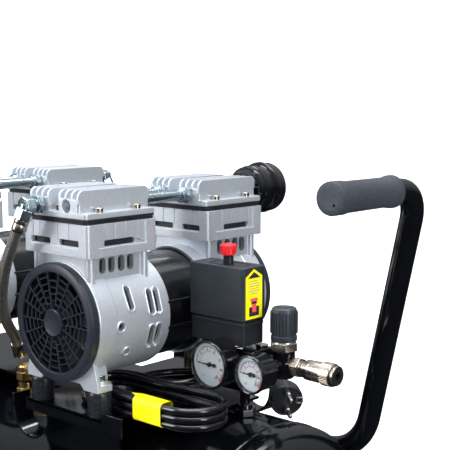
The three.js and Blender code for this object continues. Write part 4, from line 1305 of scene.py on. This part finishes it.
# ---------------------------------------------------------------- pressure switch
SWITCH_LOW, SWITCH_HIGH = extent("pressure_switch")
BUTTON_LOW, BUTTON_HIGH = extent("switch_button")
NECK_X = 118.7
SWITCH_LINE_Y = 13.5


def pressure_switch():
    x0, x1, y0, y1 = SWITCH_LOW.x, SWITCH_HIGH.x, SWITCH_LOW.y, SWITCH_HIGH.y
    top = SWITCH_HIGH.z
    seam = 93.5
    button_x = (BUTTON_LOW.x + BUTTON_HIGH.x) / 2
    button_y = (BUTTON_LOW.y + BUTTON_HIGH.y) / 2
    cover = block((x0, x1), (y0, y1), (seam, top), 4)
    hole = rod("z", 6.5, 12, (button_x, button_y, top - 11))
    recess = block((button_x - 22, button_x + 26), (button_y - 12, button_y + 12), (top - 1.2, top + 1), 8)
    cover = soft(cut(cover, hole, recess), 1.4, 3)
    corners = ((x0 + 8, y0 + 8), (x1 - 8, y1 - 8))
    corner_screws = [rod("z", 3, 1.2, (x, y, top - 1.3), 24) for x, y in corners]
    place(cover, "switch_cover", TEXTURED, stands_for=["pressure_switch"])
    bottom = SWITCH_LOW.z + 12
    base = block((x0 + 1.5, x1 - 1.5), (y0 + 1.5, y1 - 1.5), (bottom, seam - 0.6), 3)
    rim = block((x0 + 0.6, x1 - 0.6), (y0 + 0.6, y1 - 0.6), (seam - 5, seam - 2.6), 4)
    place(merged(soft(base, 0.8), soft(rim, 0.5)), "switch_base", PLASTIC)
    gland_x = x0 + 14
    gland_profile = [(0, 0), (6.4, 0), (8, 4), (8, 7), (0, 7)]
    gland = merged(
        soft(hexagon("z", 9, 6, (gland_x, SWITCH_LINE_Y, bottom - 6)), 0.6),
        shaded(turned("z", gland_profile, (gland_x, SWITCH_LINE_Y, bottom - 11.8))),
    )
    place(gland, "switch_gland", PLASTIC)
    place(merged(*corner_screws), "switch_screws", STEEL)
    fitting = soft(hexagon("z", 10, 4.6, (NECK_X, SWITCH_LINE_Y, bottom - 4.9)), 0.7)
    place(fitting, "switch_neck_nuts", NICKEL)


def switch_button():
    x = (BUTTON_LOW.x + BUTTON_HIGH.x) / 2
    y = (BUTTON_LOW.y + BUTTON_HIGH.y) / 2
    top = BUTTON_HIGH.z
    profile = [(0, -12), (6.6, -12), (7.6, -11), (7.9, -6), (9, -3.6), (9, -1.2)]
    profile += [(8.2, -0.3), (6.8, 0), (6, -0.9), (0, -0.9)]
    cap = turned("z", profile, (x, y, top), 64)
    rib = box((7.2, 8.7), (-0.8, 0.8), (-10.6, -4))
    grips = [moved(rib, spin(30 * i, "Z"), shift(x, y, top)) for i in range(12)]
    button = "switch_button"
    cap = merged(shaded(cap), *grips)
    place(cap, "switch_button_cap", RED, button, stands_for=[button])
    stem = turned("z", [(0, 0), (5.6, 0), (5.6, 10), (4.2, 12), (4.2, 14), (0, 14)], (x, y, BUTTON_LOW.z))
    place(shaded(stem), "switch_button_stem", PLASTIC, button)


def label_shape(outline, thickness=0.25):
    """A flat shape on the switch's +X face, as (y, z) points."""
    return prism("x", outline, SWITCH_HIGH.x + 0.02, SWITCH_HIGH.x + 0.02 + thickness)


def warning_label():
    """Yellow notice with a pointed top, a triangle, blank lines for words and a generic pictogram."""
    left, right = -1.5, 25
    centre = (left + right) / 2
    outline = [(left, 96), (right, 96), (right, 141), (centre, 149), (left, 141)]
    place(label_shape(outline, 0.3), "warning_label", YELLOW)
    black = [
        label_shape([(left + 3, 139.5), (right - 3, 139.5), (centre, 146)], 0.5),
        label_shape([(centre - 5, 112), (centre + 5, 112), (centre + 3, 116), (centre - 3, 116)], 0.5),
    ]
    place(merged(*black), "warning_label_marks", PRINT_BLACK)
    lines = []
    for i, width in enumerate((13, 17, 18, 15, 18, 12)):
        z = 136 - 2.7 * i
        y0, y1 = centre - width / 2, centre + width / 2
        lines.append(label_shape([(y0, z), (y1, z), (y1, z + 0.9), (y0, z + 0.9)], 0.45))
    place(merged(*lines), "warning_label_lines", PRINT_GREY)
    red = [
        label_shape(rounded_rectangle((centre - 6, centre + 6), (114.5, 118), 1.5), 0.6),
        label_shape(rounded_rectangle((centre - 3.4, centre + 3.4), (103, 112), 0.8), 0.6),
    ]
    place(merged(*red), "warning_label_pictogram", DIAL_RED)
    dark = label_shape(rounded_rectangle((centre - 8, centre + 8), (99, 109), 1.2), 0.5)
    place(dark, "warning_label_block", PRINT_BLACK)


pressure_switch()
switch_button()
warning_label()


# ---------------------------------------------------------------- gauges, regulator, air outlet
def around(radius, start, end, steps):
    """Points round a dial. Angles are clockwise from straight up, in degrees."""
    angles = [math.radians(start + (end - start) * i / steps) for i in range(steps + 1)]
    return [(radius * math.sin(a), radius * math.cos(a)) for a in angles]


def dial_band(radius, width, start, end, steps=24):
    outline = around(radius, start, end, steps) + around(radius - width, end, start, steps)
    return prism("y", outline, -0.1, 0.1)


def dial_mark(angle, outer, inner, width):
    mark = box((-width / 2, width / 2), (-0.1, 0.1), (inner, outer))
    return moved(mark, spin(angle, "Y"))


# The digits as seven strokes: top, upper left, upper right, middle, lower left, lower right, bottom.
DIGIT_STROKES = {
    "0": "1110111",
    "1": "0010010",
    "2": "1011101",
    "4": "0111010",
    "6": "1101111",
    "8": "1111111",
}
STROKE_ENDS = [
    ((0, 2), (1, 2)), ((0, 1), (0, 2)), ((1, 1), (1, 2)), ((0, 1), (1, 1)), ((0, 0), (0, 1)),
    ((1, 0), (1, 1)), ((0, 0), (1, 0)),
]


def digit(text, size, at):
    """A number on a dial, centred on at, built of flat strokes."""
    strokes = []
    pitch = size * 0.85
    for k, character in enumerate(text):
        left = at[0] + (k - len(text) / 2) * pitch + 0.15 * size
        for shown, ((x0, z0), (x1, z1)) in zip(DIGIT_STROKES[character], STROKE_ENDS):
            if shown == "0":
                continue
            half = size * 0.08
            xs = (left + x0 * size * 0.5 - half, left + x1 * size * 0.5 + half)
            zs = (at[1] + (z0 - 1) * size * 0.5 - half, at[1] + (z1 - 1) * size * 0.5 + half)
            strokes.append(box(xs, (-0.1, 0.1), zs))
    return merged(*strokes)


NUMBERS = ["0", "2", "4", "6", "8", "10", "12"]
TICKS = 60
SWEEP = (-90, 140)
DANGER = (102, 140)
CASE_DEPTH = 28


def gauge(name, radius):
    """A pressure gauge drawn with its face at the origin, looking to -Y."""
    box_low, box_high = extent(name)
    centre = ((box_low.x + box_high.x) / 2, box_low.y, (box_low.z + box_high.z) / 2)
    at = DRAWN_AT @ Matrix.Translation(Vector(centre) * MM)
    depth = box_high.y - box_low.y + 0.01
    profile = [
        (radius - 3, 5), (radius - 3, 2), (radius - 2.4, 0.4), (radius - 1.4, 0), (radius - 0.5, 0.4),
        (radius, 1.4), (radius, 4), (radius - 0.6, 5.2), (radius - 1.4, 6), (radius - 1.4, 25),
        (radius - 4, CASE_DEPTH), (5, CASE_DEPTH), (5, depth), (0, depth), (0, 5.2),
        (radius - 3.2, 5.2),
    ]
    case = turned("y", profile, sides=128)
    place(shaded(case), f"{name}_case", GLOSS, at=at, stands_for=[name])
    dial = turned("y", [(0, 4.6), (radius - 3.05, 4.6), (radius - 3.05, 5.1), (0, 5.1)], sides=96)
    place(shaded(dial), f"{name}_dial", DIAL_WHITE, at=at)
    scale = radius - 6.5
    first, last = SWEEP
    black, red = [], []
    for i in range(TICKS + 1):
        angle = first + (last - first) * i / TICKS
        long = i % 5 == 0
        black.append(dial_mark(angle, scale, scale - (2.6 if long else 1.3), 0.42 if long else 0.22))
        red.append(dial_mark(angle, scale - 5.2, scale - (6.4 if long else 5.8), 0.3))
    for number, spot in zip(NUMBERS, around(scale - 3.9, first, last, len(NUMBERS) - 1)):
        black.append(digit(number, radius * 0.085, spot))
    red.append(dial_band(scale + 2.2, 1.5, *DANGER))
    black.append(dial_band(scale + 0.2, 0.25, first, last, 64))
    on_dial = shift(0, 4.5, 0)
    place(moved(merged(*black), on_dial), f"{name}_scale", PRINT_BLACK, at=at)
    place(moved(merged(*red), on_dial), f"{name}_red_scale", DIAL_RED, at=at)
    screws = [rod("y", 1.3, 0.8, (x, 4, -radius * 0.5), 24) for x in (-radius * 0.33, radius * 0.3)]
    place(shaded(merged(*screws)), f"{name}_dial_screws", STEEL, at=at)
    reach = radius - 6
    # half of the pointer's outline as (share of the reach, half width), from the tip to the tail
    half = [(-0.5, 0.5), (0, 1.0), (0.2, 0.8), (0.26, 1.9), (0.45, 1.9)]
    upper = [(share * reach, wide) for share, wide in half]
    outline = [(-reach, 0), *upper, *[(x, -wide) for x, wide in reversed(upper)]]
    hub = turned("y", [(0, 1.8), (1.8, 1.8), (2.4, 2.4), (2.4, 4.5), (0, 4.5)])
    pointer = merged(prism("y", outline, 3.0, 3.5), shaded(hub))
    needle = f"{name}_needle"
    place(pointer, f"{name}_pointer", PRINT_BLACK, needle, at, [needle])
    glass = turned("y", [(0, 1.2), (radius - 3.1, 1.2), (radius - 3.1, 1.6), (0, 1.6)], sides=96)
    place(shaded(glass), f"{name}_glass", GLASS, at=at)


gauge("tank_gauge", 26)
gauge("outlet_gauge", 20.5)

REGULATOR_AT = (173, 28)
MANIFOLD_END = 152.3
AIR_LINE = 48


def manifold():
    low, high = extent("manifold")
    body = block((low.x, high.x), (2, 38), (38, 62), 3, "x")
    riser_x, riser_y = 133, 12
    foot = -11.6
    riser = merged(
        shaded(rod("z", 5.5, 39 - low.z, (riser_x, riser_y, low.z))),
        soft(hexagon("z", 12.5, 8, (riser_x, riser_y, foot)), 0.9),
        soft(hexagon("z", 10, 7, (riser_x, riser_y, 31)), 0.7),
        shaded(turned("z", [(5, 0), (8.2, 0), (7.4, 4), (5, 5)], (riser_x, riser_y, foot + 8))),
    )
    plugs = [hexagon("y", 7, 3, (125, -1.0, 50)), hexagon("z", 7, 3, (143, 28, 62))]
    place(soft(body, 1.2), "manifold_block", GLOSS, stands_for=["manifold"])
    place(riser, "riser_pipe", GLOSS)
    plugs = merged(*[soft(plug, 0.5) for plug in plugs])
    place(plugs, "manifold_plugs", NICKEL)


def regulator():
    x, y = REGULATOR_AT
    profile = [(0, -14), (10, -14), (12, -12), (12, 14), (10, 16), (0, 16)]
    body = merged(
        shaded(turned("z", profile, (x, y, AIR_LINE))),
        soft(rod("x", 8, x - MANIFOLD_END, (MANIFOLD_END, y, AIR_LINE)), 0.5),
        soft(rod("x", 9, 14, (x, y, AIR_LINE)), 0.6),
        soft(rod("y", 7, 12, (x, y - 22, AIR_LINE)), 0.6),
    )
    place(body, "regulator_tee", GLOSS, stands_for=["regulator_body"])
    nut = merged(
        soft(hexagon("z", 15.4, 9, (x, y, AIR_LINE + 15.6), 15), 0.9),
        shaded(turned("z", [(0, 0), (13, 0), (12, 3), (8, 3.4), (0, 3.4)], (x, y, AIR_LINE + 24.4))),
    )
    place(nut, "regulator_nut", NICKEL)
    knob = turned(
        "z",
        [
            (8.5, 0), (13.4, 0), (14, 1), (14, 5.5), (13, 6.4), (13, 7.2), (13.6, 8), (13.6, 33),
            (13, 34.6), (11.6, 35.6), (9, 35.6), (8, 34.8), (0, 34.8), (0, 12), (8.5, 12),
        ],
        (x, y, AIR_LINE + 26),
        96,
    )
    rib = soft(box((13.2, 14.8), (-0.8, 0.8), (8.6, 31.5)), 0.35, 1)
    ribs = []
    for i in range(28):
        ribs.append(moved(rib, spin(360 / 28 * i, "Z"), shift(x, y, AIR_LINE + 26)))
    body, cap = "regulator_knob", merged(shaded(knob), *ribs)
    place(cap, "regulator_knob_cap", KNOB, body, stands_for=[body])


def coupler():
    y = REGULATOR_AT[1]
    low, high = extent("coupler_body")
    at = (low.x, y, AIR_LINE)
    end = high.x - low.x
    body = turned(
        "x",
        [
            (0, 9), (8, 9), (8, 12), (6.6, 12.6), (6.6, 14), (8, 14.6), (8, end - 5), (8.6, end - 4),
            (10.2, end - 3.6), (10.5, end - 3), (10.5, end - 0.8), (9.9, end), (4.6, end), (4.6, end - 26),
            (0, end - 26),
        ],
        at,
        96,
    )
    barrel = merged(shaded(body), soft(hexagon("x", 11, 9.5, at, 15), 0.8))
    place(barrel, "coupler_barrel", NICKEL, stands_for=["coupler_body"])
    node = "coupler_sleeve"
    low, high = extent(node)
    end = high.x - low.x
    at = (low.x, y, AIR_LINE)
    sleeve = turned(
        "x",
        [
            (8.5, 0), (10, 0), (10.6, 0.8), (10.9, 6), (10.2, 6.6), (10.2, 8.2), (10.9, 8.8),
            (11, end - 14), (12, end - 13), (12, end - 1), (11.2, end), (8.5, end),
        ],
        at,
        96,
    )
    knurl = box((end - 12, end - 2), (-0.5, 0.5), (11.6, 12.4))
    knurls = [moved(knurl, Matrix.Rotation(2 * math.pi * i / 40, 4, "X"), shift(*at)) for i in range(40)]
    shell = merged(shaded(sleeve), *knurls)
    place(shell, "coupler_sleeve_shell", NICKEL, node, stands_for=[node])


manifold()
regulator()
coupler()


# ---------------------------------------------------------------- hoses and valves
FRONT_ROUTE = [
    (-24, -158, 205), (-38, -159, 182), (-57, -157, 152), (-72, -152, 124), (-86, -142, 98),
    (-100, -126, 76), (-114, -108, 58), (-127, -94, 42), (-134, -86, 28),
]
REAR_ROUTE = [
    (24, 158, 205), (34, 160, 184), (54, 160, 152), (80, 150, 120), (104, 122, 92), (118, 82, 68),
    (124, 40, 52), (125, 0, 42), (125, -34, 34), (125, -60, 27),
]


def hose(name, side, route, at):
    """A braided hose from the elbow on a head's port, with a crimp at each end."""
    face = side * -HEAD_LOW.y
    x = side * PORT_X
    corner = Vector((x, face + side * 18, PORT_HEIGHT))
    first = Vector(route[0])
    way = (first - corner).normalized()
    line = smooth_line([corner + way * 16, *route], 8)
    tube = sweep(line, HOSE_RADIUS - 0.4, 40)
    place(shaded(tube), f"{name}_braid", BRAID, at=at, stands_for=[name])
    inward = face - side * 8
    elbow = merged(
        soft(hexagon("y", 10.4, 7, (x, face + (2 if side > 0 else -9), PORT_HEIGHT)), 0.7),
        shaded(rod("y", 6.2, 26, (x, min(inward, corner.y), PORT_HEIGHT))),
        soft(hexagon("y", 10, 12, (x, corner.y - 6, PORT_HEIGHT), 20), 1.2),
    )
    place(elbow, f"{name}_elbow", ZINC, at=at)
    along = way.to_track_quat("Z", "Y").to_matrix().to_4x4()
    nut = merged(soft(hexagon("z", 10, 12, (0, 0, 4)), 0.8), shaded(rod("z", 7.4, 5, (0, 0, 0))))
    place(moved(nut, along, shift(*corner)), f"{name}_swivel_nut", ZINC, at=at)
    crimp = [(0, 15), (7.6, 15), (7.9, 16), (7.9, 20), (7.4, 21), (7.9, 22), (7.9, 28), (7, 30), (0, 30)]
    crimp = moved(shaded(turned("z", crimp)), along, shift(*corner))
    place(crimp, f"{name}_crimp", NICKEL, at=at)
    last, before = line[-1], line[-6]
    along = (last - before).normalized().to_track_quat("Z", "Y").to_matrix().to_4x4()
    crimp = turned("z", [(0, -20), (7, -20), (7.8, -18), (7.8, -2), (7.4, 0), (0, 0)])
    crimp = moved(shaded(crimp), along, shift(*last))
    place(crimp, f"{name}_lower_crimp", NICKEL, at=at)


hose("hose_a", -1, FRONT_ROUTE, PUMP["a"])
hose("hose_b", 1, REAR_ROUTE, Matrix.Translation(PUMP["b"].translation))


VALVE_AT = (-131.7, -80)


def valves():
    low, high = extent("check_valve")
    x, y = VALVE_AT
    body = merged(
        soft(hexagon("z", 11, 16, (x, y, low.z + 13)), 0.8),
        shaded(rod("z", 8.6, 8, (x, y, low.z + 28))),
        soft(hexagon("z", 10.8, 10, (x, y, high.z - 20)), 0.8),
        shaded(turned("z", [(0, 0), (9, 0), (9, 6), (7.6, 8), (0, 8)], (x, y, high.z - 10))),
    )
    place(body, "check_valve_body", BRASS, stands_for=["check_valve"])
    arms = merged(
        soft(hexagon("x", 8, 17, (x, y, 9)), 0.6),
        soft(hexagon("y", 8, 15, (x, y, 9)), 0.6),
    )
    place(arms, "check_valve_ports", BRASS)
    low, high = extent("drain_valve")
    x, y = (low.x + high.x) / 2, (low.y + high.y) / 2
    cock = merged(
        soft(hexagon("z", 9, 8, (x, y, high.z - 18)), 0.7),
        shaded(rod("z", 5.4, 12, (x, y, high.z - 12))),
        shaded(rod("z", 4, 10, (x, y, low.z + 5))),
        soft(block((x - 12, x + 12), (y - 1.5, y + 1.5), (low.z, low.z + 10), 2, "y"), 0.5),
    )
    place(cock, "drain_cock", BRASS, "drain_valve", stands_for=["drain_valve"])


valves()


def cord_tag():
    """A strip of yellow tape wrapped round the hank's front run, with one corner standing out."""
    x0, x1 = 84, 124
    ys, zs = (-107.2, -88.9), (0.1, 25.4)
    thick = 0.35
    section = rounded_rectangle(ys, zs, 5, 8)
    hollow = rounded_rectangle((ys[0] + thick, ys[1] - thick), (zs[0] + thick, zs[1] - thick), 5 - thick, 8)
    band = cut(prism("x", section, x0, x1), prism("x", hollow, x0 - 1, x1 + 1))
    corner = [(x0 + 0.2, ys[0] + 4.5), (x0 + 0.2, ys[1] - 4.5), (x0 - 11, -98)]
    end = prism("z", corner, zs[1] - thick, zs[1])
    place(merged(shaded(band), end), "cord_tag", YELLOW)


cord_tag()


# ---------------------------------------------------------------- floor, light and the end of the script
def cyclorama():
    """A round pale floor that curves up into a wall."""
    profile = [(0, 0), (4.0, 0)]
    bend = [math.pi / 2 * i / 12 for i in range(1, 13)]
    profile += [(4.0 + 1.5 * math.sin(a), 1.5 - 1.5 * math.cos(a)) for a in bend]
    profile += [(5.5, 4.5)]
    bm = bmesh.new()
    sides = 96
    rings = []
    for radius, height in profile:
        count = sides if radius > 0 else 1
        angles = [2 * math.pi * i / sides for i in range(count)]
        rings.append([bm.verts.new((radius * math.cos(a), radius * math.sin(a), height)) for a in angles])
    for near, far in zip(rings, rings[1:]):
        for i in range(sides):
            j = (i + 1) % sides
            corners = [near[i % len(near)], near[j % len(near)], far[j], far[i]]
            bm.faces.new(list(dict.fromkeys(corners)))
    mesh = bpy.data.meshes.new("cyclorama")
    bm.to_mesh(mesh)
    bm.free()
    mesh.materials.append(floor_paint())
    mesh.polygons.foreach_set("use_smooth", [True] * len(mesh.polygons))
    floor = bpy.data.objects.new("cyclorama", mesh)
    floor.location = (0, 0, -0.0005)
    floor.visible_glossy = False
    bpy.context.scene.collection.objects.link(floor)


def soft_light(name, power, size, at, aim):
    data = bpy.data.lights.new(name, "AREA")
    data.energy = power
    data.shape = "RECTANGLE"
    data.size, data.size_y = size
    light = bpy.data.objects.new(name, data)
    light.location = at
    light.rotation_euler = (Vector(aim) - Vector(at)).to_track_quat("-Z", "Y").to_euler()
    bpy.context.scene.collection.objects.link(light)


def studio_sky():
    """Light from above and less from the sides and below, so that glossy black stays dark."""
    world = bpy.data.worlds.new("studio")
    world.use_nodes = True
    nodes, links = world.node_tree.nodes, world.node_tree.links
    place_in_sky = nodes.new("ShaderNodeTexCoord")
    split = nodes.new("ShaderNodeSeparateXYZ")
    ramp = nodes.new("ShaderNodeMapRange")
    for name, number in (("From Min", -0.1), ("From Max", 0.9), ("To Min", 0.03), ("To Max", 0.8)):
        ramp.inputs[name].default_value = number
    links.new(place_in_sky.outputs["Generated"], split.inputs[0])
    links.new(split.outputs["Z"], ramp.inputs["Value"])
    links.new(ramp.outputs["Result"], nodes["Background"].inputs["Strength"])
    nodes["Background"].inputs["Color"].default_value = (0.90, 0.95, 1.0, 1)
    bpy.context.scene.world = world
    bpy.context.scene.view_settings.view_transform = "Standard"


def studio():
    cyclorama()
    studio_sky()
    aim = (0.1, 0, 0.5)
    soft_light("overhead", 60, (2.0, 2.0), (0.3, -0.3, 2.4), aim)
    soft_light("left", 48, (0.9, 2.2), (-1.4, -2.4, 1.5), aim)
    soft_light("right", 34, (0.8, 2.2), (2.6, -0.5, 1.3), aim)
    soft_light("backdrop", 260, (4.0, 1.5), (-1.2, 1.2, 3.4), (-3.2, 4.0, 0.6))


studio()
